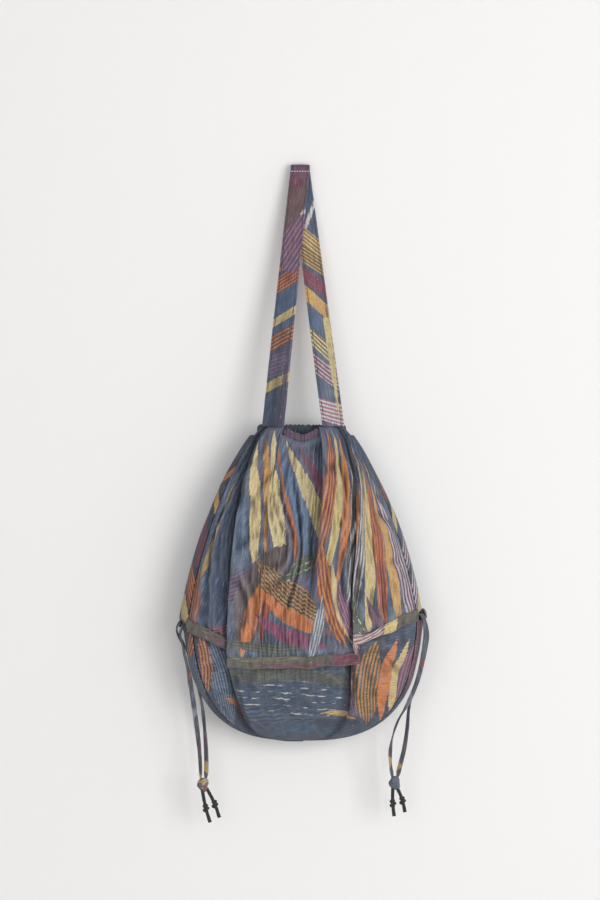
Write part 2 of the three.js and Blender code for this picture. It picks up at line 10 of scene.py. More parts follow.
import bpy
import numpy as np
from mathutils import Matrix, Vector


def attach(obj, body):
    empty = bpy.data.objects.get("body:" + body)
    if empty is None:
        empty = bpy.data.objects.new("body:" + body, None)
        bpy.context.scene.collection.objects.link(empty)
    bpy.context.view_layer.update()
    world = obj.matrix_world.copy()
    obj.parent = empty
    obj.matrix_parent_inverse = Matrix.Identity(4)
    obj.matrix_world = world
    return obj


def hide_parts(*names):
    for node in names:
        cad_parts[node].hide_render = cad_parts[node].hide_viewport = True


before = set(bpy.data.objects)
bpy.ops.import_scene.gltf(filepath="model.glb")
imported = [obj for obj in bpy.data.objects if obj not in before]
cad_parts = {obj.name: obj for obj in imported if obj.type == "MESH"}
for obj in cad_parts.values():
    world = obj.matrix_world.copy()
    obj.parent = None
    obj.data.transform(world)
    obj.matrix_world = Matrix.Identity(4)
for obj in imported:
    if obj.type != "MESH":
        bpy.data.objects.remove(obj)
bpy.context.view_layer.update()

Array = np.ndarray
Colour = tuple[float, float, float]
Point = tuple[float, float, float]
Key = int | str

MM = 0.001
TINY = 1e-9
BODY = "root"
log = logging.getLogger("bag")


# Numbers on arrays


def ease(share: Array) -> Array:
    """Return a quarter sine of a share, from 0 to 1 and level at 1."""
    return np.sin(np.clip(share, 0.0, 1.0) * np.pi / 2)


def rounded(share: Array, exponent: float) -> Array:
    """Return the height of a superellipse of half width 1 at a share of it."""
    return np.maximum(0.0, 1.0 - np.abs(share) ** exponent) ** (1.0 / exponent)


def between(low: Array, high: Array, share: Array) -> Array:
    """Return the value at a share of the way from low to high."""
    return low + (high - low) * share


def bell(value: Array, width: float) -> Array:
    """Return a bell curve of height 1, which falls to 1/e at a width from nought."""
    return np.exp(-((value / width) ** 2))


def step_up(low: float, high: float, value: Array) -> Array:
    """Return a smooth step from 0 at low to 1 at high."""
    share = np.clip((value - low) / (high - low), 0.0, 1.0)
    return share * share * (3.0 - 2.0 * share)


def srgb(text: str) -> Colour:
    """Return the linear colour of a six-digit hexadecimal screen colour.

    Args:
        text: the screen colour, such as 5f7a9b.

    Returns:
        The red, green and blue of the colour in linear light.
    """
    values = [int(text[i : i + 2], 16) / 255 for i in (0, 2, 4)]
    return tuple(v / 12.92 if v <= 0.04045 else ((v + 0.055) / 1.055) ** 2.4 for v in values)


def signed_power(value: Array, power: float) -> Array:
    """Return a power of a number's size, with the number's own sign."""
    return np.sign(value) * np.abs(value) ** power


def linked(name: str, data: bpy.types.ID) -> bpy.types.Object:
    """Return a new object in the scene that holds a mesh, a lamp or a camera."""
    made = bpy.data.objects.new(name, data)
    bpy.context.scene.collection.objects.link(made)
    return made


class Ripple:
    """Smooth seeded noise over a plane, for folds that follow no rule."""

    CELLS = 64

    def __init__(self, seed: int) -> None:
        """Draw the slopes of the noise at the lattice points.

        Args:
            seed: the number that fixes the draw.
        """
        angles = np.random.default_rng(seed).uniform(0, 2 * np.pi, (self.CELLS, self.CELLS))
        self.slopes = np.stack([np.cos(angles), np.sin(angles)], axis=-1)

    def corner(self, column: Array, row: Array, x: Array, y: Array) -> Array:
        """Return one lattice corner's share of the noise at points that lie x and y from it."""
        slope = self.slopes[row % self.CELLS, column % self.CELLS]
        return slope[..., 0] * x + slope[..., 1] * y

    def at(self, x: Array, y: Array) -> Array:
        """Return the noise at points given in lattice cells.

        Args:
            x: the points' first coordinates.
            y: the points' second coordinates.

        Returns:
            Values of about -1 to 1.
        """
        x, y = np.broadcast_arrays(np.asarray(x, float), np.asarray(y, float))
        column, row = np.floor(x).astype(int), np.floor(y).astype(int)
        fx, fy = x - column, y - row
        across = fx**3 * (fx * (fx * 6 - 15) + 10)
        down = fy**3 * (fy * (fy * 6 - 15) + 10)
        near = between(self.corner(column, row, fx, fy), self.corner(column + 1, row, fx - 1, fy), across)
        far = between(
            self.corner(column, row + 1, fx, fy - 1),
            self.corner(column + 1, row + 1, fx - 1, fy - 1),
            across,
        )
        return between(near, far, down) * 1.6


# The bag's form, in millimetres, as the part's source has it


@dataclass(frozen=True)
class FoldLine:
    """One side seam or fold line of the front, as a share of the half width."""

    waist: float
    mouth: float
    ease: float
    bottom: float


@dataclass(frozen=True)
class Pleat:
    """How far the cloth of one span stands out at its two ends, and what of that is lost by the waist."""

    left: float
    right: float
    left_fade: float = 0.0
    right_fade: float = 0.0


@dataclass(frozen=True)
class Tuck:
    """The overlap at one fold line: how far the cloth doubles back, and where that happens."""

    overlap: float
    reach: float
    at_mouth: float
    at_waist: float
    at_bottom: float


Section = Callable[[Array], tuple[Array, Array, Array, Array]]
Surface = Callable[[Array, Array], Array]


@dataclass(frozen=True)
class BagForm:
    """The smooth form of the bag and the lines on it."""

    mouth_z: float = -341.0
    waist_z: float = -600.0
    bottom_z: float = -749.0
    centre_x: float = 4.0
    centre_y: float = -46.0
    back_shift: float = 0.45
    mouth_half: tuple[float, float] = (58.0, 54.0)
    waist_half: tuple[float, float] = (163.0, 158.0)
    bowl_half: tuple[float, float] = (156.0, 155.0)
    bowl_taper: float = 0.1
    side_fullness: float = 1.32
    side_swell: float = 0.62
    mouth_deep: tuple[float, float] = (25.0, 20.0)
    waist_deep: tuple[float, float] = (66.0, 40.0)
    bowl_tuck: float = 5.0
    plan_roundness: float = 2.4
    bowl_roundness: float = 2.8
    keel_roundness: float = 2.3
    lines: tuple[FoldLine, ...] = (
        FoldLine(-0.93, 0.0, 1.0, 0.0),
        FoldLine(-0.565, -0.235, 2.2, -0.37),
        FoldLine(-0.33, -0.09, 1.6, -0.2),
        FoldLine(0.03, 0.36, 1.6, 0.12),
        FoldLine(0.43, 0.42, 1.8, 0.2),
        FoldLine(0.955, 0.0, 1.0, 0.0),
    )
    waist_line: tuple[tuple[float, float], ...] = (
        (-597.0, -622.0), (-644.0, -645.0), (-645.0, -644.0), (-644.0, -640.0), (-615.0, -584.0),
    )
    pleats: tuple[Pleat, ...] = (
        Pleat(0.0, -9.0),
        Pleat(4.0, 1.0),
        Pleat(1.0, -7.0, 0.0, 0.85),
        Pleat(5.0, -3.0, 0.85, 0.7),
        Pleat(3.0, 0.0),
    )
    pleat_at_mouth: float = 0.35
    pleat_growth: float = 1.3
    pleat_lost_in_bowl: float = 0.8

    def down_share(self, z: Array) -> Array:
        """Return how far down a height is from the mouth to the waist, 0 to 1."""
        return np.clip((self.mouth_z - z) / (self.mouth_z - self.waist_z), 0.0, 1.0)

    def bowl_share(self, z: Array) -> Array:
        """Return how far down a height is from the waist to the bottom, 0 to 1."""
        return np.clip((self.waist_z - z) / (self.waist_z - self.bottom_z), 0.0, 1.0)

    def upper(self, z: Array) -> tuple[Array, Array, Array, Array]:
        """Return the left and right half widths and the front and back depths above the waist.

        Args:
            z: the height.

        Returns:
            The four sizes.
        """
        share = self.down_share(z)
        swell = between(share, ease(share ** (1 / self.side_fullness)), self.side_swell)
        left, right = (between(m, w, swell) for m, w in zip(self.mouth_half, self.waist_half))
        front, back = (between(m, w, ease(share)) for m, w in zip(self.mouth_deep, self.waist_deep))
        return left, right, front, back

    def lower(self, z: Array) -> tuple[Array, Array, Array, Array]:
        """Return the left and right half widths and the front and back depths of the bowl.

        Args:
            z: the height.

        Returns:
            The four sizes.
        """
        share = self.bowl_share(z)
        taper = self.bowl_taper * np.maximum(0.0, self.waist_z - z)
        outline, keel = rounded(share, self.bowl_roundness), rounded(share, self.keel_roundness)
        left, right = ((half - taper) * outline for half in self.bowl_half)
        front, back = ((deep - self.bowl_tuck) * keel for deep in self.waist_deep)
        return left, right, front, back

    def front_point(self, section: Section, share: Array, z: Array) -> Array:
        """Return points on the smooth front by their share of the half width and their height.

        Args:
            section: the widths and depths by height.
            share: the share of the half width, negative on the left.
            z: the height.

        Returns:
            The points, with x, y and z on the last axis.
        """
        left, right, front, _ = section(z)
        x = self.centre_x + share * np.where(share < 0, left, right)
        y = self.centre_y - front * rounded(share, self.plan_roundness)
        return np.stack(np.broadcast_arrays(x, y, z), axis=-1)

    def back_point(self, section: Section, share: Array, z: Array) -> Array:
        """Return points on the smooth back: share 0 is the right seam and 1 the left one.

        Args:
            section: the widths and depths by height.
            share: the share of the way round behind.
            z: the height.

        Returns:
            The points, with x, y and z on the last axis.
        """
        left, right, front, back = section(z)
        power = 2 / self.plan_roundness
        first = -math.acos(self.lines[-1].waist ** (1 / power))
        last = math.pi + math.acos((-self.lines[0].waist) ** (1 / power))
        angle = between(first, last, share)
        across, deep = np.abs(np.cos(angle)) ** power, np.abs(np.sin(angle)) ** power
        x = self.centre_x + np.where(np.cos(angle) < 0, -left, right) * across
        y = self.centre_y + np.where(np.sin(angle) < 0, -front, back) * deep
        return np.stack(np.broadcast_arrays(x, y + self.back_shift, z), axis=-1)

    def outward(self, surface: Surface, share: Array, z: Array, from_edge: Array) -> Array:
        """Return the outward directions of a smooth surface, level at a sewn edge.

        Args:
            surface: the points by share and height.
            share: the shares of the points.
            z: the heights of the points.
            from_edge: how far each is from the sewn edge, as a share of the panel.

        Returns:
            Unit directions, with x, y and z on the last axis.
        """
        across = surface(share + 0.004, z) - surface(share - 0.004, z)
        down = surface(share, z - 0.3) - surface(share, z + 0.3)
        normal = np.cross(down, across)
        normal /= np.maximum(np.linalg.norm(normal, axis=-1, keepdims=True), TINY)
        normal[..., 2] *= np.clip(np.broadcast_to(from_edge, normal.shape[:-1]) * 5, 0, 1)
        return normal / np.maximum(np.linalg.norm(normal, axis=-1, keepdims=True), TINY)

    def upper_line(self, k: int, v: Array) -> Array:
        """Return the share of fold line k at a panel share v above the waist."""
        line = self.lines[k]
        return line.waist + line.mouth * (1 - np.clip(v, 0, 1)) ** line.ease

    def lower_line(self, k: int, v: Array) -> Array:
        """Return the share of fold line k at a panel share v below the waist."""
        return self.lines[k].waist + self.lines[k].bottom * v * v

    def relief(self, span: int, along: Array, z: Array) -> Array:
        """Return how far the pleated cloth stands out of the smooth form.

        Args:
            span: the span between two fold lines.
            along: the place across that span, 0 to 1.
            z: the height.

        Returns:
            The distance out of the smooth form.
        """
        pleat, down = self.pleats[span], self.down_share(z)
        along = np.clip(along, 0, 1)
        start = pleat.left * (1 - pleat.left_fade * down) * (1 - along) ** 2.5
        finish = pleat.right * (1 - pleat.right_fade * down) * along**2
        depth = np.minimum(1, self.pleat_at_mouth + self.pleat_growth * down)
        return (start + finish) * depth * (1 - self.pleat_lost_in_bowl * self.bowl_share(z))

    def back_waist(self, share: Array) -> Array:
        """Return the height of the waist seam's middle by the share of the way round behind."""
        return between(self.waist_line[4][1], self.waist_line[0][0], share)


FORM = BagForm()


# Shaders


class Value:
    """A number that varies over a surface: a shader socket with arithmetic on it."""

    def __init__(self, shader: "Shader", socket: bpy.types.NodeSocket) -> None:
        """Wrap one output socket of a shader's node."""
        self.shader = shader
        self.socket = socket

    def __add__(self, other: "Value | float") -> "Value":
        """Return the sum."""
        return self.shader.math("ADD", self, other)

    def __radd__(self, other: float) -> "Value":
        """Return the sum."""
        return self.shader.math("ADD", other, self)

    def __sub__(self, other: "Value | float") -> "Value":
        """Return the difference."""
        return self.shader.math("SUBTRACT", self, other)

    def __rsub__(self, other: float) -> "Value":
        """Return the difference from a number."""
        return self.shader.math("SUBTRACT", other, self)

    def __mul__(self, other: "Value | float") -> "Value":
        """Return the product."""
        return self.shader.math("MULTIPLY", self, other)

    def __rmul__(self, other: float) -> "Value":
        """Return the product."""
        return self.shader.math("MULTIPLY", other, self)

    def __pow__(self, other: float) -> "Value":
        """Return the power."""
        return self.shader.math("POWER", self, other)

    def __abs__(self) -> "Value":
        """Return the absolute value."""
        return self.shader.math("ABSOLUTE", self)

    def sine(self) -> "Value":
        """Return the sine."""
        return self.shader.math("SINE", self)

    def swing(self, height: float) -> "Value":
        """Return a zigzag between 0 and a height."""
        return self.shader.math("PINGPONG", self, height)

    def least(self, other: "Value | float") -> "Value":
        """Return the lesser of two values."""
        return self.shader.math("MINIMUM", self, other)

    def most(self, other: "Value | float") -> "Value":
        """Return the greater of two values."""
        return self.shader.math("MAXIMUM", self, other)

    def over(self, low: float, high: float) -> "Value":
        """Return a smooth step from 0 at low to 1 at high."""
        settings = {"interpolation_type": "SMOOTHSTEP"}
        node = self.shader.node("ShaderNodeMapRange", settings, {0: self, 1: low, 2: high})
        return Value(self.shader, node.outputs[0])


class Shader:
    """One material under construction."""

    def __init__(self, name: str) -> None:
        """Start a material that holds a surface shader and its output.

        Args:
            name: the material's name.
        """
        self.material = bpy.data.materials.new(name)
        self.material.use_nodes = True
        self.tree = self.material.node_tree
        self.tree.nodes.clear()
        self.surface = self.node("ShaderNodeBsdfPrincipled")
        self.output = self.node("ShaderNodeOutputMaterial")
        self.tree.links.new(self.surface.outputs[0], self.output.inputs[0])

    def node(
        self, kind: str, settings: dict[str, object] | None = None, inputs: dict[Key, object] | None = None
    ) -> bpy.types.Node:
        """Add one node.

        Args:
            kind: the node's type.
            settings: the node's own properties.
            inputs: the values or links of its sockets, by index or name.

        Returns:
            The node.
        """
        made = self.tree.nodes.new(kind)
        for name, value in (settings or {}).items():
            setattr(made, name, value)
        for key, value in (inputs or {}).items():
            self.feed(made.inputs[key], value)
        return made

    def feed(self, socket: bpy.types.NodeSocket, value: object) -> None:
        """Link a socket, or set its value.

        Args:
            socket: the node's input.
            value: a value, an output socket or a plain number or colour.
        """
        if isinstance(value, Value):
            value = value.socket
        if isinstance(value, bpy.types.NodeSocket):
            self.tree.links.new(value, socket)
        elif isinstance(value, tuple) and len(value) == 3 and socket.type == "RGBA":
            socket.default_value = (*value, 1.0)
        else:
            socket.default_value = value

    def math(self, operation: str, first: object, second: object | None = None) -> Value:
        """Return the result of a Math node."""
        inputs = {0: first} if second is None else {0: first, 1: second}
        return Value(self, self.node("ShaderNodeMath", {"operation": operation}, inputs).outputs[0])

    def mix(self, first: object, second: object, share: object) -> bpy.types.NodeSocket:
        """Return the mix of two colours.

        Args:
            first: the colour at share 0.
            second: the colour at share 1.
            share: the share of the second colour.

        Returns:
            The mixed colour's socket.
        """
        return self.node("ShaderNodeMix", {"data_type": "RGBA"}, {0: share, 6: first, 7: second}).outputs[2]

    def noise(self, place: object, scale: float, detail: float = 2.0, roughness: float = 0.5) -> Value:
        """Return a noise from 0 to 1 at a place."""
        inputs = {"Vector": place, "Scale": scale, "Detail": detail, "Roughness": roughness}
        return Value(self, self.node("ShaderNodeTexNoise", {}, inputs).outputs[0])

    def moved(self, place: object, origin: Point, turn: float, size: Point) -> bpy.types.NodeSocket:
        """Return a place in a pattern's own frame.

        Args:
            place: the coordinates on the cloth, in metres.
            origin: the pattern's middle.
            turn: how far the pattern is turned, in radians.
            size: the length that counts as 1 along each axis.

        Returns:
            The coordinates in the pattern's frame.
        """
        inputs = {"Vector": place, "Location": origin, "Rotation": (0.0, 0.0, turn), "Scale": size}
        return self.node("ShaderNodeMapping", {"vector_type": "TEXTURE"}, inputs).outputs[0]

    def parts(self, place: object) -> tuple[Value, Value, Value]:
        """Return the x, y and z of a place."""
        node = self.node("ShaderNodeSeparateXYZ", {}, {0: place})
        return tuple(Value(self, socket) for socket in node.outputs)

    def cloth_place(self) -> bpy.types.NodeSocket:
        """Return the place on the cloth, from the piece's own map, in metres."""
        return self.node("ShaderNodeUVMap", {"uv_map": "Cloth"}).outputs[0]

    def object_place(self) -> bpy.types.NodeSocket:
        """Return the place in the bag's frame, in metres."""
        return self.node("ShaderNodeTexCoord").outputs["Object"]

    def marked(self, name: str) -> Value:
        """Return a number that the mesh gives each of its points."""
        return Value(self, self.node("ShaderNodeAttribute", {"attribute_name": name}).outputs["Fac"])

    def relief(self, height: Value, strength: float, distance: float) -> None:
        """Feed the surface's normal with a bump.

        Args:
            height: the height of the relief, 0 to 1.
            strength: the share of the relief that shows.
            distance: the height in metres that 1 stands for.
        """
        inputs = {"Strength": strength, "Distance": distance, "Height": height}
        bump = self.node("ShaderNodeBump", {}, inputs)
        self.feed(self.surface.inputs["Normal"], bump.outputs[0])


class Tip(Enum):
    """How the painted stroke's ends are shaped."""

    BAR = "bar"
    LEAF = "leaf"
    SPIKE = "spike"


class Fill(Enum):
    """What a painted stroke is filled with."""

    PLAIN = "plain"
    STRIPES = "stripes"
    DASHES = "dashes"


@dataclass(frozen=True)
class Stroke:
    """One painted field of the print, in millimetres on the cloth."""

    middle: tuple[float, float]
    turn: float
    length: float
    width: float
    colour: str
    tip: Tip = Tip.BAR
    bend: float = 0.0
    jag: float = 0.0
    jag_step: float = 5.0
    fill: Fill = Fill.PLAIN
    line_colour: str = "3c4656"
    line_step: float = 4.0
    strength: float = 1.0


def plain(
    x: float, y: float, turn: float, length: float, width: float, colour: str, bend: float, **more: object
) -> Stroke:
    """Return a stroke of one colour, leaf-shaped unless told otherwise."""
    return Stroke((x, y), turn, length, width, colour, **{"tip": Tip.LEAF, "bend": bend, **more})


def striped(*place: float | str, fill: Fill = Fill.STRIPES, **more: object) -> Stroke:
    """Return a stroke with lines along it.

    Args:
        place: what a plain stroke has, then the lines' colour and, unless it is the usual one, their step.
        fill: whether the lines are whole or broken.
        more: the stroke's other fields.

    Returns:
        The stroke.
    """
    lines = dict(zip(("line_colour", "line_step"), place[7:]))
    return plain(*place[:7], fill=fill, **lines, **more)


def dashed(*place: float | str, **more: object) -> Stroke:
    """Return a stroke with broken lines along it."""
    return striped(*place, fill=Fill.DASHES, **more)


@dataclass(frozen=True)
class Tint:
    """A colour laid thinly over another, and its strength."""

    colour: Colour
    strength: float

    def over(self, shader: Shader, colour: object, share: Value) -> object:
        """Return a colour with the tint over it, as far as a share is above nought."""
        return shader.mix(colour, self.colour, share.most(0.0) * self.strength)


@dataclass(frozen=True)
class PrintedCotton:
    """Cotton with a painterly print of plain fields and strokes."""

    name: str
    ground: tuple[str, str, str]
    strokes: tuple[Stroke, ...] = ()
    grain_turn: float = 80.0
    brush_mark: Point = (0.016, 0.0011, 1.0)
    broken_mark: Point = (0.016, 0.004, 1.0)
    fleck: Point = (0.006, 0.0016, 1.0)
    weave_step: float = 0.62
    edge_wobble: float = 1.8
    brush_wobble: float = 5.0
    soft_edge: float = 0.5
    brush_dark: Tint = Tint((0.03, 0.035, 0.05), 2.2)
    brush_pale: Tint = Tint((0.50, 0.52, 0.55), 1.9)
    stain: Tint = Tint((0.12, 0.09, 0.14), 1.5)
    speck: Tint = Tint((0.05, 0.05, 0.06), 1.6)
    # Painted shade in the folds and painted light on the ridges.
    painted_fold_shade: Tint = Tint((0.010, 0.012, 0.022), 0.86)
    painted_ridge_light: Tint = Tint((0.42, 0.43, 0.45), 0.22)
    age: Tint = Tint((0.19, 0.18, 0.18), 0.12)
    fleck_pale: Tint = Tint((0.75, 0.74, 0.72), 0.6)
    roughness: float = 0.9

    def build(self) -> bpy.types.Material:
        """Return the finished material."""
        shader = Shader(self.name)
        place = shader.cloth_place()
        grain = shader.moved(place, (0.0, 0.0, 0.0), math.radians(self.grain_turn), self.brush_mark)
        streak = shader.noise(grain, 1.0, 3.0, 0.6)
        wash = shader.noise(place, 28.0, 4.0, 0.6)
        wobble = shader.noise(place, 260.0, 2.0, 0.5) - 0.5
        colour = self.ground_colour(shader, place, streak, wash)
        for stroke in self.strokes:
            colour = self.painted(shader, place, colour, stroke, streak, wobble)
        colour = self.handled(shader, place, colour, streak, wash)
        weave = self.weave(shader, place)
        colour = shader.mix(colour, (0.02, 0.02, 0.03), weave * -0.10 + 0.10)
        shader.feed(shader.surface.inputs["Base Color"], colour)
        rough = streak * 0.08 + self.roughness
        shader.feed(shader.surface.inputs["Roughness"], rough.least(1.0))
        shader.surface.inputs["Sheen Weight"].default_value = 0.12
        shader.surface.inputs["Sheen Roughness"].default_value = 0.6
        shader.surface.inputs["Specular IOR Level"].default_value = 0.25
        crinkle = shader.noise(place, 150.0, 5.0, 0.62)
        shader.relief(weave * 0.35 + crinkle * 1.2 + streak * 0.25, 0.55, 0.0007)
        return shader.material

    def ground_colour(self, shader: Shader, place: object, streak: Value, wash: Value) -> object:
        """Return the ground of the print, washed from one colour to the others.

        Args:
            shader: the material under construction.
            place: the place on the cloth.
            streak: the brush marks, 0 to 1.
            wash: the wash, 0 to 1.

        Returns:
            The colour's socket.
        """
        first, second, third = (srgb(text) for text in self.ground)
        large = shader.noise(place, 9.0, 3.0, 0.55)
        colour = shader.mix(first, second, (large * 0.5 + streak * 0.5).over(0.42, 0.58))
        return shader.mix(colour, third, (wash * 0.5 + streak * 0.5).over(0.47, 0.60))

    def painted(
        self, shader: Shader, place: object, below: object, stroke: Stroke, streak: Value, wobble: Value
    ) -> object:
        """Return the colour with one more stroke painted over it.

        Args:
            shader: the material under construction.
            place: the place on the cloth.
            below: the colour so far.
            stroke: the stroke.
            streak: the brush marks, 0 to 1.
            wobble: the unevenness of the stroke's edge.

        Returns:
            The colour's socket.
        """
        half_length, half_width = stroke.length / 2, stroke.width / 2
        middle = (stroke.middle[0] * MM, stroke.middle[1] * MM, 0.0)
        size = (half_length * MM, half_width * MM, 1.0)
        along, across, _ = shader.parts(shader.moved(place, middle, math.radians(stroke.turn), size))
        if stroke.bend:
            across = across - along * along * (stroke.bend / half_width)
        brushed = (streak - 0.5) * (self.brush_wobble / half_width)
        edge = wobble * (self.edge_wobble / half_width) + brushed + 1.0
        if stroke.tip is Tip.LEAF:
            edge = edge - along * along
        if stroke.tip is Tip.SPIKE:
            edge = edge - ((along + 1.0) * 0.5) ** 1.5
        if stroke.jag:
            zigzag = (along * (half_length / stroke.jag_step)).swing(1.0)
            edge = edge + (zigzag - 0.5) * (stroke.jag / half_width)
        inside = (edge - abs(across)).over(0.0, self.soft_edge / half_width)
        ends = (1.0 - abs(along)).over(0.0, 1.0 / half_length)
        mask = inside * ends * (streak * 1.3 + 0.36).least(1.0) * stroke.strength
        colour = shader.mix(below, srgb(stroke.colour), mask)
        if stroke.fill is Fill.PLAIN:
            return colour
        wave = ((across * half_width + wobble * 1.5) * (2 * math.pi / stroke.line_step)).sine()
        lines = wave.over(-0.25, 0.25)
        if stroke.fill is Fill.DASHES:
            patches = shader.moved(place, (0.1, 0.2, 0.0), 0.05, self.broken_mark)
            broken = shader.noise(patches, 1.0, 1.0, 0.5)
            lines = (wave - 0.72).over(0.0, 0.2) * broken.over(0.50, 0.56)
        return shader.mix(colour, srgb(stroke.line_colour), lines * mask * 0.9)

    def handled(self, shader: Shader, place: object, colour: object, streak: Value, wash: Value) -> object:
        """Return the colour with brush marks, a wash, specks, painted shade in the folds, painted light on
        the ridges, a greying and pale flecks over it.

        Args:
            shader: the material under construction.
            place: the place on the cloth.
            colour: the colour so far.
            streak: the brush marks, 0 to 1.
            wash: the wash, 0 to 1.

        Returns:
            The colour's socket.
        """
        colour = self.brush_dark.over(shader, colour, 0.53 - streak)
        colour = self.brush_pale.over(shader, colour, streak - 0.53)
        colour = self.stain.over(shader, colour, wash - 0.5)
        mottle = shader.noise(place, 420.0, 3.0, 0.6)
        colour = self.speck.over(shader, colour, 0.5 - mottle)
        # Painted shade in the folds and painted light on the ridges, from each point's fold depth and the
        # painted shadow under folds.
        fold_light_and_shade = shader.marked("PaintedFoldShade")
        colour = self.painted_fold_shade.over(shader, colour, fold_light_and_shade)
        colour = self.painted_ridge_light.over(shader, colour, fold_light_and_shade * -1.0)
        colour = shader.mix(colour, self.age.colour, self.age.strength)
        flecks = shader.noise(shader.moved(place, (0.3, 0.2, 0.0), 1.5, self.fleck), 1.0, 2.0, 0.7)
        return shader.mix(colour, self.fleck_pale.colour, flecks.over(0.69, 0.75) * self.fleck_pale.strength)

    def weave(self, shader: Shader, place: object) -> Value:
        """Return the height of the plain weave, 0 to 1.

        Args:
            shader: the material under construction.
            place: the place on the cloth.

        Returns:
            The height.
        """
        x, y, _ = shader.parts(place)
        pitch = math.pi / (self.weave_step * MM)
        return (x * pitch).sine() * (y * pitch).sine() * 0.5 + 0.5


@dataclass(frozen=True)
class PlainFinish:
    """A finish of one colour with a fine grain, for thread and elastic."""

    name: str
    colour: str
    shade: str
    grain: float = 900.0
    roughness: float = 0.8
    rise: float = 0.0003

    def build(self) -> bpy.types.Material:
        """Return the finished material."""
        shader = Shader(self.name)
        place = shader.object_place()
        fine = shader.noise(place, self.grain, 3.0, 0.6)
        broad = shader.noise(place, self.grain / 12, 2.0, 0.5)
        colour = shader.mix(srgb(self.colour), srgb(self.shade), (fine * 0.6 + broad * 0.4).over(0.35, 0.65))
        shader.feed(shader.surface.inputs["Base Color"], colour)
        shader.feed(shader.surface.inputs["Roughness"], fine * 0.15 + self.roughness)
        shader.surface.inputs["Specular IOR Level"].default_value = 0.3
        shader.relief(fine, 0.6, self.rise)
        return shader.material


@dataclass(frozen=True)
class BraidedCord:
    """Dark round cord with a slanted braid."""

    name: str
    colour: str
    shade: str
    pitch: float = 1.6

    def build(self) -> bpy.types.Material:
        """Return the finished material."""
        shader = Shader(self.name)
        x, y, _ = shader.parts(shader.cloth_place())
        turn = 2 * math.pi / (self.pitch * MM)
        braid = ((x + y) * turn).sine() * ((x - y) * turn).sine() * 0.5 + 0.5
        fuzz = shader.noise(shader.object_place(), 1400.0, 3.0, 0.6)
        colour = shader.mix(srgb(self.shade), srgb(self.colour), braid * 0.7 + fuzz * 0.3)
        shader.feed(shader.surface.inputs["Base Color"], colour)
        shader.feed(shader.surface.inputs["Roughness"], fuzz * 0.2 + 0.7)
        shader.surface.inputs["Sheen Weight"].default_value = 0.15
        shader.relief(braid * 0.8 + fuzz * 0.3, 0.8, 0.0005)
        return shader.material


# Meshes


@dataclass
class Sheet:
    """A grid of cloth: points in millimetres, and each point's place on the flat cloth."""

    name: str
    points: Array
    flat: Array
    closed: bool = False
    thickness: float = 1.2
    capped: bool = False
    # tucked: how far each point lies in the painted shadow under a fold beside it.
    tucked: Array | float = 0.0

    def faces(self) -> list[tuple[int, ...]]:
        """Return the quads of the grid, which face the side that the columns turn round."""
        rows, columns = self.points.shape[:2]
        last = columns if self.closed else columns - 1
        quads = []
        for r in range(rows - 1):
            for c in range(last):
                d = (c + 1) % columns
                quads.append((r * columns + c, (r + 1) * columns + c, (r + 1) * columns + d, r * columns + d))
        if self.capped:
            quads.append(tuple(range(columns)))
            quads.append(tuple(range(rows * columns - 1, (rows - 1) * columns - 1, -1)))
        return quads

    def map_places(self, mesh: bpy.types.Mesh) -> None:
        """Give the mesh its map of the flat cloth, in metres.

        Args:
            mesh: the piece's mesh.
        """
        rows, columns = self.points.shape[:2]
        flat = self.flat.reshape(-1, 2) * MM
        layer = mesh.uv_layers.new(name="Cloth")
        corners = np.zeros(len(mesh.loops), int)
        mesh.loops.foreach_get("vertex_index", corners)
        places = flat[corners]
        if self.closed:
            girth = self.girth() * MM
            starts = np.zeros(len(mesh.polygons), int)
            mesh.polygons.foreach_get("loop_start", starts)
            for start in starts[: (rows - 1) * columns]:
                loops = slice(start, start + 4)
                column = corners[loops] % columns
                if column.min() == 0 and column.max() == columns - 1:
                    places[loops, 0] += np.where(column == 0, girth, 0.0)
        layer.data.foreach_set("uv", places.astype(np.float32).ravel())

    def mark_hollows(self, mesh: bpy.types.Mesh) -> None:
        """Give each point its depth below the cloth around it, -1 on a ridge to 1 in a fold, with the painted
        shadow under folds added; it drives painted shade and painted light.

        Args:
            mesh: the piece's mesh.
        """
        deep = sum(hollows(self.points, reach, self.closed) / full for reach, full in ((2, 1.2), (6, 5.0)))
        # The value that paints shade in the folds and light on the ridges.
        value = np.clip(deep / 2 + self.tucked, -1, 1)
        layer = mesh.attributes.new("PaintedFoldShade", "FLOAT", "POINT")
        layer.data.foreach_set("value", value.astype(np.float32).ravel())

    def cut(self) -> tuple[tuple[float, float], float]:
        """Return the flat cloth's greatest width and length, and its area on one side, in metres."""
        grid = self.points * MM
        if self.closed:
            width, length = self.girth() * MM / 2, arc_lengths(grid, 0)[-1].mean()
            return (float(width), float(length)), float(width * length)
        first, second = grid[1:, 1:] - grid[:-1, :-1], grid[1:, :-1] - grid[:-1, 1:]
        area = np.linalg.norm(np.cross(first, second), axis=-1).sum() / 2
        width, length = arc_lengths(grid, 1)[:, -1].max(), arc_lengths(grid, 0)[-1].max()
        return (float(width), float(length)), float(area)

    def girth(self) -> float:
        """Return the length round the middle row, in millimetres."""
        row = self.points[len(self.points) // 2]
        return float(np.linalg.norm(row - np.roll(row, 1, axis=0), axis=-1).sum())

    def build(self, material: bpy.types.Material, slot: str = "printed_cotton") -> bpy.types.Object:
        """Make the piece.

        Args:
            material: its finish.
            slot: not used.

        Returns:
            The object, which rides on the bag.
        """
        mesh = bpy.data.meshes.new(self.name)
        mesh.from_pydata((self.points.reshape(-1, 3) * MM).tolist(), [], self.faces())
        self.map_places(mesh)
        self.mark_hollows(mesh)
        mesh.polygons.foreach_set("use_smooth", np.ones(len(mesh.polygons), bool))
        mesh.materials.append(material)
        made = linked(self.name, mesh)
        if self.thickness and not self.closed:
            wall = made.modifiers.new("Cloth thickness", "SOLIDIFY")
            wall.thickness = self.thickness * MM
            wall.offset = -1.0
            wall.use_even_offset = False
        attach(made, BODY)
        return made


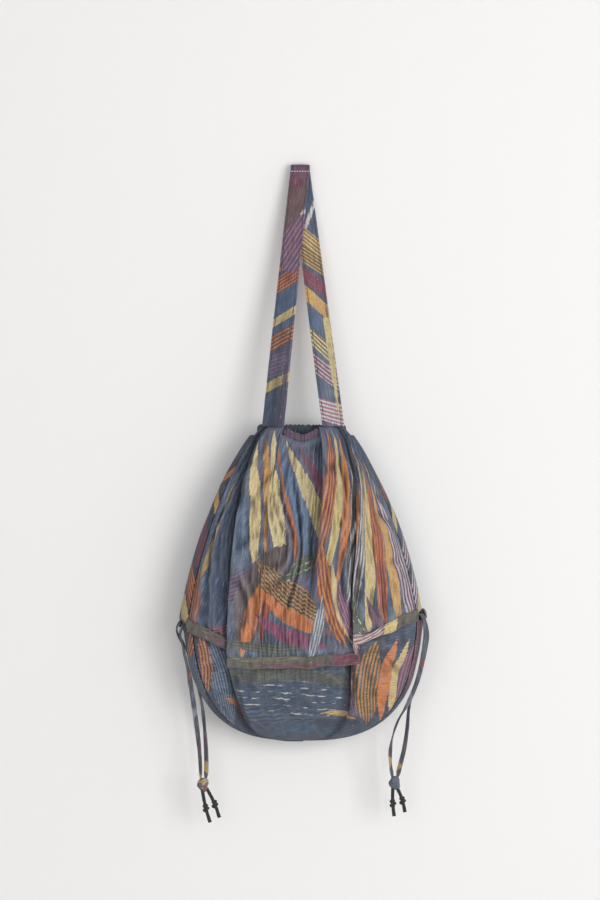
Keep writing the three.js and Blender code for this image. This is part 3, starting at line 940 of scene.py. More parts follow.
def arc_lengths(points: Array, axis: int) -> Array:
    """Return the running length along one axis of a grid of points."""
    steps = np.linalg.norm(np.diff(points, axis=axis), axis=-1)
    start = np.zeros_like(np.take(steps, [0], axis=axis))
    return np.concatenate([start, np.cumsum(steps, axis=axis)], axis=axis)


def hollows(points: Array, reach: int, closed: bool) -> Array:
    """Return how deep each point of a grid lies below the points around it.

    Args:
        points: the grid.
        reach: how many steps away the points around it are.
        closed: whether the rows are closed rings.

    Returns:
        The depths, in millimetres, less than nought on a ridge.
    """
    if min(points.shape[:2]) < 2 * reach + 2:
        return np.zeros(points.shape[:2])
    wide = np.pad(points, ((reach, reach), (0, 0), (0, 0)), mode="reflect", reflect_type="odd")
    if closed:
        wide = np.concatenate([wide[:, -reach:], wide, wide[:, :reach]], axis=1)
    else:
        wide = np.pad(wide, ((0, 0), (reach, reach), (0, 0)), mode="reflect", reflect_type="odd")
    inner = slice(reach, -reach)
    below, above = wide[2 * reach :, inner], wide[: -2 * reach, inner]
    right, left = wide[inner, 2 * reach :], wide[inner, : -2 * reach]
    outward = np.cross(below - above, right - left)
    outward /= np.maximum(np.linalg.norm(outward, axis=-1, keepdims=True), TINY)
    return (((below + above + right + left) / 4 - points) * outward).sum(axis=-1)


def smooth_path(points: Sequence[Point], step: float) -> Array:
    """Return a smooth curve through points.

    Args:
        points: the points that it passes.
        step: the distance between its points.

    Returns:
        Points that are evenly spread along the curve.
    """
    given = np.array(points, float)
    padded = np.vstack([2 * given[0] - given[1], given, 2 * given[-1] - given[-2]])
    pieces = []
    for k in range(1, len(padded) - 2):
        p0, p1, p2, p3 = padded[k - 1 : k + 3]
        knots = [0.0]
        for a, b in ((p0, p1), (p1, p2), (p2, p3)):
            knots.append(knots[-1] + max(np.linalg.norm(b - a), 1e-6) ** 0.5)
        t0, t1, t2, t3 = knots
        t = np.linspace(t1, t2, 24, endpoint=False)[:, None]
        a1 = (t1 - t) / (t1 - t0) * p0 + (t - t0) / (t1 - t0) * p1
        a2 = (t2 - t) / (t2 - t1) * p1 + (t - t1) / (t2 - t1) * p2
        a3 = (t3 - t) / (t3 - t2) * p2 + (t - t2) / (t3 - t2) * p3
        b1 = (t2 - t) / (t2 - t0) * a1 + (t - t0) / (t2 - t0) * a2
        b2 = (t3 - t) / (t3 - t1) * a2 + (t - t1) / (t3 - t1) * a3
        pieces.append((t2 - t) / (t2 - t1) * b1 + (t - t1) / (t2 - t1) * b2)
    fine = np.vstack([*pieces, given[-1:]])
    run = arc_lengths(fine, 0)
    count = max(2, round(run[-1] / step))
    even = np.linspace(0, run[-1], count + 1)
    return np.stack([np.interp(even, run, fine[:, i]) for i in range(3)], axis=-1)


def path_frames(path: Array, first_side: Point) -> tuple[Array, Array]:
    """Return two directions across a path that turn as little as they can.

    Args:
        path: the points of the path.
        first_side: roughly the first direction at the path's start.

    Returns:
        The side and the face direction at each point.
    """
    tangents = np.gradient(path, axis=0)
    tangents /= np.linalg.norm(tangents, axis=1, keepdims=True)
    side = np.array(first_side, float)
    sides = []
    for tangent in tangents:
        side = side - tangent * (side @ tangent)
        side = side / np.linalg.norm(side)
        sides.append(side)
    sides = np.array(sides)
    return sides, np.cross(tangents, sides)


@dataclass
class Sweep:
    """A closed section drawn along a path: a ribbon, a cord or a roll."""

    name: str
    path: Array
    first_side: Point
    twist: Array | float = 0.0
    half_width: Array | float = 3.0
    half_height: Array | float = 3.0
    squareness: float = 2.0
    ripple_step: float = 3.0
    around: int = 16
    ripple: float = 0.0
    seed: int = 1

    def sheet(self) -> Sheet:
        """Return the swept surface as a closed sheet."""
        sides, faces = path_frames(self.path, self.first_side)
        twist, width, height = (
            np.broadcast_to(np.asarray(value, float), len(self.path))[:, None]
            for value in (self.twist, self.half_width, self.half_height)
        )
        across = sides * np.cos(twist) + faces * np.sin(twist)
        facing = faces * np.cos(twist) - sides * np.sin(twist)
        angle = -np.linspace(0, 2 * np.pi, self.around, endpoint=False)[None, :]
        power = 2 / self.squareness
        x = width * signed_power(np.cos(angle), power)
        y = height * signed_power(np.sin(angle), power)
        run = arc_lengths(self.path, 0)[:, None]
        if self.ripple:
            rough = Ripple(self.seed)
            uneven = rough.at(run / self.ripple_step, np.cos(angle) * 1.5 + 7) * self.ripple
            x, y = x * (1 + uneven / width), y * (1 + uneven / height)
        points = (
            self.path[:, None, :]
            + across[:, None, :] * x[..., None]
            + facing[:, None, :] * y[..., None]
        )
        ring = arc_lengths(points, 1)
        flat = np.stack(np.broadcast_arrays(ring, run), axis=-1)
        return Sheet(self.name, points, flat, closed=True, capped=True)


# Stitches


@dataclass(frozen=True)
class Seam:
    """The stitches of a row: their pitch, their length and the thread's half thickness, in millimetres."""

    pitch: float
    length: float
    thread: float


@dataclass
class StitchTree:
    """A Geometry Nodes tree that lays thread stitches along a line of points."""

    name: str
    material: bpy.types.Material
    tree: bpy.types.NodeTree = field(init=False)

    def __post_init__(self) -> None:
        """Build the tree: resample the line, lay a stitch at each point and turn it along the line."""
        tree = bpy.data.node_groups.new(self.name, "GeometryNodeTree")
        self.tree = tree
        sockets = tree.interface
        sockets.new_socket("Geometry", in_out="INPUT", socket_type="NodeSocketGeometry")
        for label, start in (("Pitch", 0.003), ("Length", 0.0022), ("Thread", 0.0003)):
            sockets.new_socket(label, in_out="INPUT", socket_type="NodeSocketFloat").default_value = start
        sockets.new_socket("Geometry", in_out="OUTPUT", socket_type="NodeSocketGeometry")
        given = tree.nodes.new("NodeGroupInput")
        result = tree.nodes.new("NodeGroupOutput")
        curve = tree.nodes.new("GeometryNodeMeshToCurve")
        even = tree.nodes.new("GeometryNodeResampleCurve")
        even.mode = "LENGTH"
        thread = tree.nodes.new("GeometryNodeMeshUVSphere")
        thread.inputs["Segments"].default_value = 6
        thread.inputs["Rings"].default_value = 4
        thread.inputs["Radius"].default_value = 1.0
        size = tree.nodes.new("ShaderNodeCombineXYZ")
        half = tree.nodes.new("ShaderNodeMath")
        half.operation = "MULTIPLY"
        half.inputs[1].default_value = 0.5
        tangent = tree.nodes.new("GeometryNodeInputTangent")
        turn = tree.nodes.new("FunctionNodeAlignRotationToVector")
        turn.axis = "Z"
        laid = tree.nodes.new("GeometryNodeInstanceOnPoints")
        real = tree.nodes.new("GeometryNodeRealizeInstances")
        finish = tree.nodes.new("GeometryNodeSetMaterial")
        finish.inputs["Material"].default_value = self.material
        links = (
            (given, "Geometry", curve, "Mesh"),
            (curve, "Curve", even, "Curve"),
            (given, "Pitch", even, "Length"),
            (given, "Length", half, 0),
            (given, "Thread", size, "X"),
            (given, "Thread", size, "Y"),
            (half, 0, size, "Z"),
            (tangent, 0, turn, "Vector"),
            (even, "Curve", laid, "Points"),
            (thread, "Mesh", laid, "Instance"),
            (turn, "Rotation", laid, "Rotation"),
            (size, 0, laid, "Scale"),
            (laid, "Instances", real, "Geometry"),
            (real, "Geometry", finish, "Geometry"),
            (finish, "Geometry", result, "Geometry"),
        )
        for source, output, target, socket in links:
            tree.links.new(source.outputs[output], target.inputs[socket])

    def lay(self, name: str, rows: Sequence[Array], seam: Seam) -> bpy.types.Object:
        """Lay stitches along rows of points.

        Args:
            name: the piece's name.
            rows: the lines of points, in millimetres.
            seam: the sizes of its stitches.

        Returns:
            The stitches as one piece, which rides on the bag.
        """
        points, edges = [], []
        for row in rows:
            start = len(points)
            points.extend((row * MM).tolist())
            edges.extend((start + i, start + i + 1) for i in range(len(row) - 1))
        line = bpy.data.meshes.new(name + "_line")
        line.from_pydata(points, edges, [])
        guide = linked(name + "_guide", line)
        modifier = guide.modifiers.new("Stitches", "NODES")
        modifier.node_group = self.tree
        sizes = {"Pitch": seam.pitch * MM, "Length": seam.length * MM, "Thread": seam.thread * MM}
        for item in self.tree.interface.items_tree:
            if item.in_out == "INPUT" and item.name in sizes:
                modifier[item.identifier] = sizes[item.name]
        graph = bpy.context.evaluated_depsgraph_get()
        mesh = bpy.data.meshes.new_from_object(guide.evaluated_get(graph))
        bpy.data.objects.remove(guide)
        mesh.polygons.foreach_set("use_smooth", np.ones(len(mesh.polygons), bool))
        made = linked(name, mesh)
        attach(made, BODY)
        log.info("%s: %d faces", name, len(mesh.polygons))
        return made


# Finishes of this bag

BLUE_GROUND = ("52647d", "434d62", "7089a8")
NAVY_GROUND = ("36425a", "2c3644", "4a566e")

LEFT_FIELD = (
    # A dark blue field, partly the print and partly painted shade where the light falls off on the front's
    # left side.
    plain(-205, -500, 82, 320, 56, "394d69", 10, strength=0.8),
    plain(-182, -560, 76, 170, 18, "5f7896", 6, strength=0.6),
    plain(-236, -470, 84, 190, 12, "b89a5c", 7),
    striped(-204, -606, 8, 80, 16, "7a4a5e", 5, "b06c84", 4.0),
    striped(-250, -570, 92, 110, 26, "803f34", 5, "b5743f", 5.0),
)
MIDDLE_FIELD = (
    plain(-30, -450, 114, 360, 130, "6b6880", 12, strength=0.75),
    plain(-104, -440, 98, 200, 18, "e8d294", 8),
    plain(-84, -430, 102, 210, 14, "d9a050", 9),
    plain(-62, -436, 106, 230, 26, "ecdaa2", 10),
    plain(-40, -430, 109, 200, 11, "c9774a", 10),
    plain(-24, -440, 112, 230, 22, "5f7ea2", 11),
    plain(-4, -436, 115, 220, 19, "e9d69c", 11),
    plain(12, -426, 117, 180, 14, "8c4a62", 9),
    striped(-110, -540, 30, 130, 40, "5f5568", 8, "86708c", 5.0),
    striped(-84, -552, 60, 170, 70, "585b49", -10, "74505a", 5.0),
    plain(-92, -574, 64, 140, 28, "e48a4a", -10),
    plain(-70, -584, 68, 110, 13, "b2553a", -9),
    striped(-32, -560, 150, 160, 54, "4c4f41", -12, "d8984f", 5.0),
    plain(-18, -586, 157, 170, 20, "df8445", -12),
    plain(-20, -610, 164, 160, 20, "9c4f72", -8),
    striped(-70, -626, 176, 150, 15, "6b6c52", -5, "3f4a4c", 4.0),
    dashed(-2, -512, 34, 110, 24, "5f6a55", 6, "e4e0d4", 8.0),
)
RIGHT_FIELD = (
    plain(50, -500, 96, 340, 80, "5a5f78", 5, strength=0.8),
    striped(28, -430, 82, 210, 26, "8d3f38", 8, "e0904e", 6.0),
    plain(48, -438, 84, 220, 19, "e6cf8c", 8),
    plain(66, -450, 86, 230, 18, "e08f4c", 8),
    striped(84, -460, 88, 230, 18, "d9d6d2", 7, "3d4658", 4.6),
    striped(42, -560, 112, 150, 30, "dd8f48", -8, "8a3f34", 6.0),
    plain(64, -576, 116, 140, 15, "e6d095", -8),
    striped(80, -592, 120, 130, 20, "7a4c68", -8, "b58aa0", 4.0),
    striped(28, -604, 80, 100, 17, "6f86a2", 4, "dedad2", 4.4),
    plain(118, -470, 84, 270, 22, "dd8f48", 8),
    striped(136, -480, 86, 280, 17, "e9dcd0", 8, "44506a", 5.0),
    plain(156, -490, 88, 280, 24, "e8d190", 8),
    striped(178, -500, 90, 280, 24, "a8493a", 8, "dc8d50", 6.0),
    plain(200, -510, 92, 270, 18, "e2b366", 7),
    striped(220, -520, 94, 250, 24, "6f4a63", 6, "d8ccd2", 6.0),
    dashed(128, -590, 116, 110, 22, "5f6a55", -7, "e4e0d4", 7.0),
    plain(170, -600, 128, 100, 20, "7a5468", -7),
)
UPPER_PRINT = PrintedCotton("Upper panel print", BLUE_GROUND, LEFT_FIELD + MIDDLE_FIELD + RIGHT_FIELD)
BACK_PRINT = PrintedCotton(
    "Back panel print",
    NAVY_GROUND,
    (
        plain(398, -400, 24, 60, 13, "d98a48", 2, tip=Tip.BAR, jag=1.0),
        plain(400, -438, 140, 60, 12, "e0b264", 3, tip=Tip.BAR, jag=1.2),
        plain(398, -492, 118, 70, 24, "7a3f56", 3, tip=Tip.BAR),
        striped(398, -548, 130, 70, 22, "8b3d34", 3, "e0904e", 5.0, tip=Tip.BAR),
        plain(400, -592, 120, 60, 18, "e4c880", 3, tip=Tip.BAR, jag=1.2),
        plain(10, -420, 50, 60, 14, "8a4a3c", 3, tip=Tip.BAR),
        plain(10, -458, 56, 70, 12, "e4cf94", 3, tip=Tip.BAR, jag=1.0),
        striped(10, -506, 50, 70, 22, "6c4c62", 3, "dcd4d4", 6.0, tip=Tip.BAR),
        striped(10, -552, 58, 70, 20, "70506a", 3, "e4dede", 6.0, tip=Tip.BAR),
        plain(10, -590, 60, 60, 18, "e6cd8a", 3, tip=Tip.BAR, jag=1.2),
        plain(190, -470, 76, 330, 40, "53687f", 16, strength=0.8),
        striped(120, -500, 68, 260, 20, "6b6880", 12, "8a4a5e"),
        plain(270, -520, 104, 240, 16, "c8934e", 8, tip=Tip.SPIKE, jag=1.2),
        striped(310, -500, 100, 240, 22, "6b6880", 8, "9aa2b4"),
        plain(60, -480, 84, 260, 24, "5f7896", 8, strength=0.8),
    ),
)
BOWL_STROKES = (
    plain(-20, -664, 177, 250, 26, "5c6150", 4, strength=0.85),
    striped(-30, -700, 3, 240, 60, "3c4a5e", 8, "53677f", 6.0),
    dashed(0, -694, 176, 230, 50, "43546b", 4, "dedcd6", 9.0),
    striped(-150, -680, 112, 140, 44, "3e4d62", 5, "8092a8", 4.0),
    striped(-186, -650, 100, 90, 22, "7a4450", 5, "dc9a58", 5.0),
    plain(-116, -706, 152, 70, 10, "d98a48", 6),
    striped(92, -672, 84, 120, 50, "5c4a60", -6, "866a80", 6.0),
    striped(124, -678, 76, 130, 44, "58543c", -8, "d69450", 5.0),
    plain(152, -674, 74, 130, 20, "df8644", -8),
    plain(171, -670, 72, 120, 17, "e4c888", -8),
    striped(194, -668, 70, 130, 38, "6d4a5c", -8, "b07a94", 6.0),
    plain(64, -716, 168, 80, 9, "dcae5c", 5),
)
BOWL_PRINT = PrintedCotton("Bowl print", ("3b4a5f", "4d627c", "303a49"), BOWL_STROKES, grain_turn=8.0)
BOWL_BACK_PRINT = PrintedCotton(
    "Bowl back print",
    NAVY_GROUND,
    (
        striped(392, -690, 74, 150, 36, "43546b", 4, "8092a8", 4.0),
        striped(396, -656, 60, 60, 20, "7a4450", 4, "dc9a58", 5.0),
        striped(8, -680, 100, 140, 34, "6d4a5c", 5, "a0708a", 5.0),
        dashed(200, -700, 4, 260, 34, "53687f", 8, "cfd0ce", 11.0),
        plain(290, -690, 120, 120, 14, "c6763f", 12, jag=1.0),
        striped(90, -700, 70, 120, 18, "6b6880", 8, "9aa2b4"),
    ),
    grain_turn=8.0,
)
BAND_PRINT = PrintedCotton(
    "Waist band print",
    ("6b6c52", "6a4f58", "59604a"),
    (
        plain(60, -640, 2, 90, 9, "73505c", 1, strength=0.8),
        plain(150, -636, 1, 120, 6, "7f7c60", 1, strength=0.8),
        plain(190, -644, 1, 110, 7, "7d4a56", 1, strength=0.85),
        plain(262, -640, 4, 56, 30, "7c3c50", 1),
        striped(322, -640, 12, 76, 34, "e4dcd4", 2, "9c4a60", 5.4, tip=Tip.BAR),
        plain(352, -640, 80, 60, 18, "ecd48c", 2, tip=Tip.BAR),
    ),
    grain_turn=2.0,
)
HEM_PRINT = PrintedCotton("Mouth hem print", ("42546e", "2f394c", "6a7f9c"))
FRONT_HEM_PRINT = PrintedCotton("Front hem print", ("70506a", "4a4c66", "8c6480"))
KNOT_PRINTS = {
    "left": PrintedCotton(
        "Left knot print",
        ("54465a", "3c3544", "6a5a6c"),
        (
            Stroke((10, 9), 0, 44, 11, "dcc67e"),
            Stroke((10, 38), 0, 44, 12, "d8c076"),
            Stroke((10, 66), 0, 44, 8, "8a4a50"),
            Stroke((10, 92), 0, 44, 12, "dcc67e"),
        ),
        weave_step=0.5,
    ),
    "right": PrintedCotton(
        "Right knot print",
        ("44536a", "333d4c", "5c6f8a"),
        (Stroke((10, 30), 0, 44, 2.4, "d4d6d8"), Stroke((10, 74), 0, 44, 2.0, "c4c8cc")),
        weave_step=0.5,
    ),
}


def strap_blocks() -> tuple[Stroke, ...]:
    """Return the strap's slanted blocks, from the left leg's foot up and down the right leg, with painted
    shade along its edges and on the left leg's turned edge.
    """
    blocks = (
        (24, 30, 26, "4f6988"),
        (58, 58, 9, "ead08a"),
        (84, 48, 24, "6a6484", "8f7c98", 5.0),
        (116, 60, 14, "dd8c48", "4a3c3c", 4.4),
        (146, 62, 8, "e8d090"),
        (168, 64, 20, "50688a"),
        (196, 62, 15, "8f4034", "d98a50", 4.0),
        (224, 60, 13, "e0904c"),
        (252, 90, 44, "5d5672", "b4788f", 5.0),
        (286, 30, 5, "eae6e0"),
        (306, 84, 26, "5c5c4a", "8a4a5e", 4.0),
        (332, 40, 18, "7c4058"),
        (358, 20, 22, "8a4a62", "6a5a70", 5.0),
        (392, 70, 40, "4c6380"),
        (424, 10, 4, "e6e2dc"),
        (444, 118, 15, "e8d08c", "8a5a44", 4.2),
        (466, 112, 16, "5c5c48", "dcb060", 4.0),
        (492, 116, 13, "8c4258"),
        (516, 122, 12, "e2b468"),
        (540, 120, 14, "4f6a8c"),
        (566, 124, 13, "e9d79a", "4a3c3c", 4.0),
        (594, 118, 16, "74425a", "d8c2c8", 4.4),
        (640, 92, 22, "ded8d8", "a25070", 5.0),
    )
    fold, stretch, widening = 350, 1.18, 1.3
    made = []
    for run, turn, width, colour, *lines in blocks:
        place = run if run < fold else fold + (run - fold) * stretch
        turned = turn - (26 if run < fold else 74)
        ruled = dict(zip(("line_colour", "line_step"), lines), fill=Fill.STRIPES) if lines else {}
        made.append(Stroke((0, place), turned, 84, width * widening, colour, **ruled))
    # A plum strip on the left leg's turned-back edge near its foot: partly its other side's print colour,
    # partly painted shade where it turns away from the light.
    made.append(Stroke((9.0, 70), 90, 170, 8.0, "584a62", Tip.SPIKE, 0, strength=0.9))
    # Dark lines along both edges at the stitching: partly a seam line, partly painted shade standing in for
    # the shadow of the strap's thickness.
    made.extend(Stroke((side, 355), 90, 720, 1.2, "2a2836", strength=0.9) for side in (-9.9, 9.9))
    made.append(Stroke((8.6, 640), 90, 150, 8.5, "e6d294", Tip.SPIKE, 0, strength=0.95))
    return tuple(made)


STRAP_PRINT = PrintedCotton("Strap print", ("4f6078", "5a4f68", "5f7896"), strap_blocks(), grain_turn=88.0)
TIE_PRINT = PrintedCotton(
    "Tie print",
    ("39414f", "4c3f48", "5a6a80"),
    (
        Stroke((0, 70), 30, 30, 10, "7a4a40"),
        Stroke((0, 120), 40, 30, 14, "8a8f98"),
        Stroke((0, 170), 35, 30, 12, "6b4658"),
        Stroke((0, 205), 40, 30, 12, "c8a45c"),
    ),
    grain_turn=88.0,
)
CORD_FINISH = BraidedCord("Dark cord", "343836", "1c1f1e")
THREAD_FINISH = PlainFinish("Sewing thread", "6c6470", "4c4752", grain=2400.0)
PALE_THREAD_FINISH = PlainFinish("Pale thread", "e4e0d8", "b8b4ac", grain=2400.0)
ELASTIC_FINISH = PlainFinish("Woven elastic", "e8e6e0", "cfccc4", grain=1200.0)


# Cords


@dataclass
class Tie:
    """A free printed ribbon from an end of the waist channel down to the knot of its side."""

    name: str
    start: Point
    leaving: Point
    route: tuple[Point, ...]
    knot: Point
    entry_side: float
    turns: float
    seed: int
    width: float = 7.0
    thickness: float = 2.0
    tube: float = 5.0
    gap: float = 0.3
    buried: float = 2.0
    knot_entry: float = 3.2
    knot_half_height: float = 9.0

    def centreline(self) -> Array:
        """Return the ribbon's middle line, which follows the part's own route."""
        start = np.array(self.start) + np.array(self.leaving) * self.gap
        leaving = np.array(self.leaving)
        x, y, z = self.knot
        entry = (x + self.entry_side * self.knot_entry, y, z + self.knot_half_height - self.buried)
        points = [start, start + leaving * self.tube / 4, start + leaving * self.tube, *self.route, entry]
        return smooth_path([tuple(p) for p in points], 2.0)

    def build(self, material: bpy.types.Material) -> bpy.types.Object:
        """Make the ribbon.

        Args:
            material: its finish.

        Returns:
            The ribbon's object.
        """
        path = self.centreline()
        share = np.linspace(0, 1, len(path))
        uneven = Ripple(self.seed).at(share * 9, self.seed)
        ends = np.minimum(1, np.minimum(share * 14 + 0.55, (1 - share) * 16 + 0.45))
        sweep = Sweep(
            self.name + "_ribbon",
            path,
            (0.0, 0.0, 1.0),
            twist=np.pi / 2 + self.turns * np.pi * share + 0.5 * uneven,
            half_width=self.width / 2 * ends * (0.9 + 0.1 * uneven),
            half_height=self.thickness / 2,
            squareness=3.0,
            around=14,
        )
        made = sweep.sheet().build(material)
        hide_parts(self.name)
        return made


@dataclass
class Knot:
    """An overhand knot of the two ribbons, drawn tight."""

    name: str
    middle: Point
    size: Point = (15.0, 12.0, 18.0)
    thread: float = 3.2
    seed: int = 3
    lean: float = 2.3

    def build(self, material: bpy.types.Material) -> bpy.types.Object:
        """Make the knot.

        Args:
            material: its finish.

        Returns:
            The knot's object.
        """
        t = np.linspace(0, 2 * np.pi, 120, endpoint=False)
        loop = np.stack(
            [np.sin(t) + 2 * np.sin(2 * t), np.sin(3 * t), np.cos(t) - 2 * np.cos(2 * t)], axis=-1
        )
        cosine, sine = math.cos(self.lean), math.sin(self.lean)
        loop = loop @ np.array([[cosine, 0, -sine], [0, 1, 0], [sine, 0, cosine]]).T
        room = np.array(self.size) / 2 - self.thread * 0.7
        loop = loop / np.abs(loop).max(axis=0) * room
        loop = np.vstack([loop, loop[:1]]) + np.array(self.middle)
        share = np.linspace(0, 2 * np.pi, len(loop))
        sweep = Sweep(
            self.name + "_tied",
            loop,
            (0.0, 1.0, 0.0),
            twist=0.4 * np.sin(3 * share),
            half_width=self.thread * (1 + 0.12 * np.sin(5 * share)),
            half_height=self.thread * 0.8,
            around=14,
            ripple=0.35,
            seed=self.seed,
        )
        made = sweep.sheet().build(material)
        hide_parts(self.name)
        return made

    def core(self, material: bpy.types.Material) -> bpy.types.Object:
        """Make the turns of ribbon inside the knot, which fill it.

        Args:
            material: its finish.

        Returns:
            The core's object.
        """
        share = np.linspace(0.06, 0.94, 24) * np.pi
        height = self.size[2] * 0.49
        path = np.array(self.middle) + np.stack([0 * share, 0 * share, height * np.cos(share)], axis=-1)
        sweep = Sweep(
            self.name + "_core",
            path,
            (1.0, 0.0, 0.0),
            twist=share * 0.3,
            half_width=self.size[0] * 0.44 * np.sin(share) ** 0.8,
            half_height=self.size[1] * 0.40 * np.sin(share) ** 0.8,
            ripple=0.8,
            seed=self.seed + 4,
        )
        return sweep.sheet().build(material)


@dataclass
class Tail:
    """A dark cord end below a knot, with its own stopper knot."""

    name: str
    knot: Point
    start: float
    end: Point
    bow: float
    diameter: float = 5.0
    stopper_share: float = 0.54
    stopper_radius: float = 2.3
    stopper_half_height: float = 3.6
    stopper_section: tuple[float, float] = (2.2, 1.9)
    knot_size: Point = (15.0, 12.0, 18.0)
    buried: float = 2.4

    def centreline(self) -> Array:
        """Return the tail's middle line, from the knot's underside."""
        x, y, z = self.knot
        aside = self.start / (self.knot_size[0] / 2)
        bulge = math.sqrt(1 - aside * aside)
        top = np.array([x + self.start * 0.9, y, z - self.knot_size[2] / 2 * bulge + self.buried])
        down = np.array(self.end) - top
        slope = self.knot_size[2] / self.knot_size[0] * aside / bulge
        top[2] -= abs(-down[0] / down[2] - slope) * self.diameter / 4
        end = np.array(self.end)
        side = np.array([self.bow, self.bow * 0.4, 0.0])
        middle = [between(top, end, s) + side * math.sin(math.pi * s) for s in (0.33, 0.66)]
        return smooth_path([tuple(top), *map(tuple, middle), tuple(end)], 0.8)

    def build(self, material: bpy.types.Material) -> bpy.types.Object:
        """Make the cord end, which widens a little towards its cut end.

        Args:
            material: its finish.

        Returns:
            The cord end's object.
        """
        path = self.centreline()
        share = np.linspace(0, 1, len(path))
        radius = self.diameter / 2 * (0.92 + 0.1 * step_up(0.6, 1.0, share))
        sweep = Sweep(
            self.name + "_cord",
            path,
            (1.0, 0.0, 0.0),
            twist=share * 2.0,
            half_width=radius,
            half_height=radius * 0.94,
            around=20,
            ripple=0.18,
            seed=len(self.name),
        )
        made = sweep.sheet().build(material, "dark_cord")
        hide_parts(self.name)
        return made

    def stopper(self, material: bpy.types.Material) -> bpy.types.Object:
        """Make the small knot that is tied round the cord end.

        Args:
            material: its finish.

        Returns:
            The small knot's object.
        """
        path = self.centreline()
        middle = path[round(len(path) * self.stopper_share)]
        t = np.linspace(0, 4 * np.pi, 64)
        radius = self.stopper_radius * np.sin(t / 4) ** 0.4 + 0.3
        height = self.stopper_half_height * np.cos(t / 4)
        loop = np.stack([radius * np.cos(t), radius * np.sin(t) * 0.8, height], axis=-1) + middle
        wide, high = self.stopper_section
        sweep = Sweep(
            self.name + "_stopper", loop, (0.0, 0.0, 1.0), half_width=wide, half_height=high, around=12
        )
        return sweep.sheet().build(material, "dark_cord")


def declare_cord(
    made: bpy.types.Object,
    path: Array,
) -> None:
    """Report the length of a hanging cord.

    Args:
        made: the piece.
        path: its middle line, in metres.
    """
    length = float(arc_lengths(path, 0)[-1])
    log.info("%s: %.0f mm long", made.name, length / MM)


@dataclass
class SideTies:
    """One side's two ribbons, their knot and the two cord ends below it."""

    side: str
    front: Tie
    back: Tie
    knot: Knot
    tails: tuple[Tail, Tail]

    def build(self, ribbon: bpy.types.Material, cord: bpy.types.Material) -> None:
        """Args:
            ribbon: the finish of the printed ribbons.
            cord: the finish of the dark cord ends.
        """
        knot_print = KNOT_PRINTS[self.side].build()
        knot, core = self.knot.build(knot_print), self.knot.core(knot_print)
        for tie in (self.front, self.back):
            made = tie.build(ribbon)
            declare_cord(made, tie.centreline() * MM)
        for tail in self.tails:
            made = tail.build(cord)
            stopper = tail.stopper(cord)
            declare_cord(made, tail.centreline() * MM)


KNOT_LEFT = (-126.0, -50.0, -806.0)
KNOT_RIGHT = (123.0, -50.0, -804.0)


def side_ties() -> tuple[SideTies, SideTies]:
    """Return the ties of the left and the right side, along the part's own routes."""
    left = SideTies(
        "left",
        Tie(
            "tie_left_front",
            (-146.13, -75.78, -597.0), (-0.684, 0.7295, 0.0),
            (
                (-155, -76, -607), (-151, -76, -630), (-145, -73, -656), (-140, -68, -688),
                (-135, -60, -724), (-131, -54, -760), (-129.5, -50.5, -786),
            ),
            knot=KNOT_LEFT, entry_side=-1, turns=0.9, seed=11,
        ),
        Tie(
            "tie_left_back",
            (-154.06, -35.51, -594.92), (-0.5552, -0.8317, 0.0),
            (
                (-161, -32, -606), (-150, -22, -630), (-139, -19, -662), (-129, -23, -700),
                (-124, -34, -742), (-122, -46, -782),
            ),
            knot=KNOT_LEFT, entry_side=1, turns=-0.6, seed=12,
        ),
        Knot("knot_left", KNOT_LEFT, seed=3),
        (
            Tail("tail_left_front", KNOT_LEFT, -1.2, (-117, -52, -855), -1.2),
            Tail("tail_left_back", KNOT_LEFT, 5.0, (-105, -48, -849), 1.5),
        ),
    )
    right = SideTies(
        "right",
        Tie(
            "tie_right_front",
            (151.23, -70.9, -584.0), (0.5642, 0.8256, 0.0),
            (
                (160, -71, -590), (160, -74, -630), (152, -76, -668), (140, -72, -698),
                (126, -65, -724), (118, -57, -752), (117, -53, -776),
            ),
            knot=KNOT_RIGHT, entry_side=-1, turns=1.2, seed=13,
        ),
        Tie(
            "tie_right_back",
            (158.14, -47.92, -585.04), (-0.0222, -0.9998, 0.0),
            (
                (164, -57, -603), (162, -50, -640), (152, -44, -670), (142, -40, -704),
                (139, -44, -734), (135, -48, -760), (129, -50, -784),
            ),
            knot=KNOT_RIGHT, entry_side=1, turns=-0.8, seed=14,
        ),
        Knot("knot_right", KNOT_RIGHT, seed=5, lean=0.7),
        (
            Tail("tail_right_front", KNOT_RIGHT, -3.0, (122, -52, -847), -1.0),
            Tail("tail_right_back", KNOT_RIGHT, 3.2, (136, -48, -842), 1.6),
        ),
    )
    return left, right


# The front's folds


@dataclass(frozen=True)
class Crease:
    """A soft fold of the cloth along a line seen from the front, in millimetres."""

    start: tuple[float, float]
    end: tuple[float, float]
    width: float
    depth: float
    sided: bool = False

    def height(self, x: Array, z: Array) -> Array:
        """Return how far the crease lifts the cloth at points.

        Args:
            x: the points' places across.
            z: the points' heights.

        Returns:
            The lift, in millimetres.
        """
        run = np.array(self.end) - np.array(self.start)
        length = float(np.hypot(*run))
        ahead = run / length
        dx, dz = x - self.start[0], z - self.start[1]
        along = (dx * ahead[0] + dz * ahead[1]) / length
        aside = (dz * ahead[0] - dx * ahead[1]) / self.width
        fade = np.sin(np.pi * np.clip(along, 0, 1)) ** 0.7
        shape = aside * np.exp(-(aside**2)) * 1.6 if self.sided else np.exp(-(aside**2))
        return self.depth * shape * fade


def ridge(value: Array) -> Array:
    """Return sharp-topped ridges, about level on average, where a noise crosses nought."""
    return (1 - np.abs(np.clip(value * 2.4, -1, 1))) ** 2 - 0.3


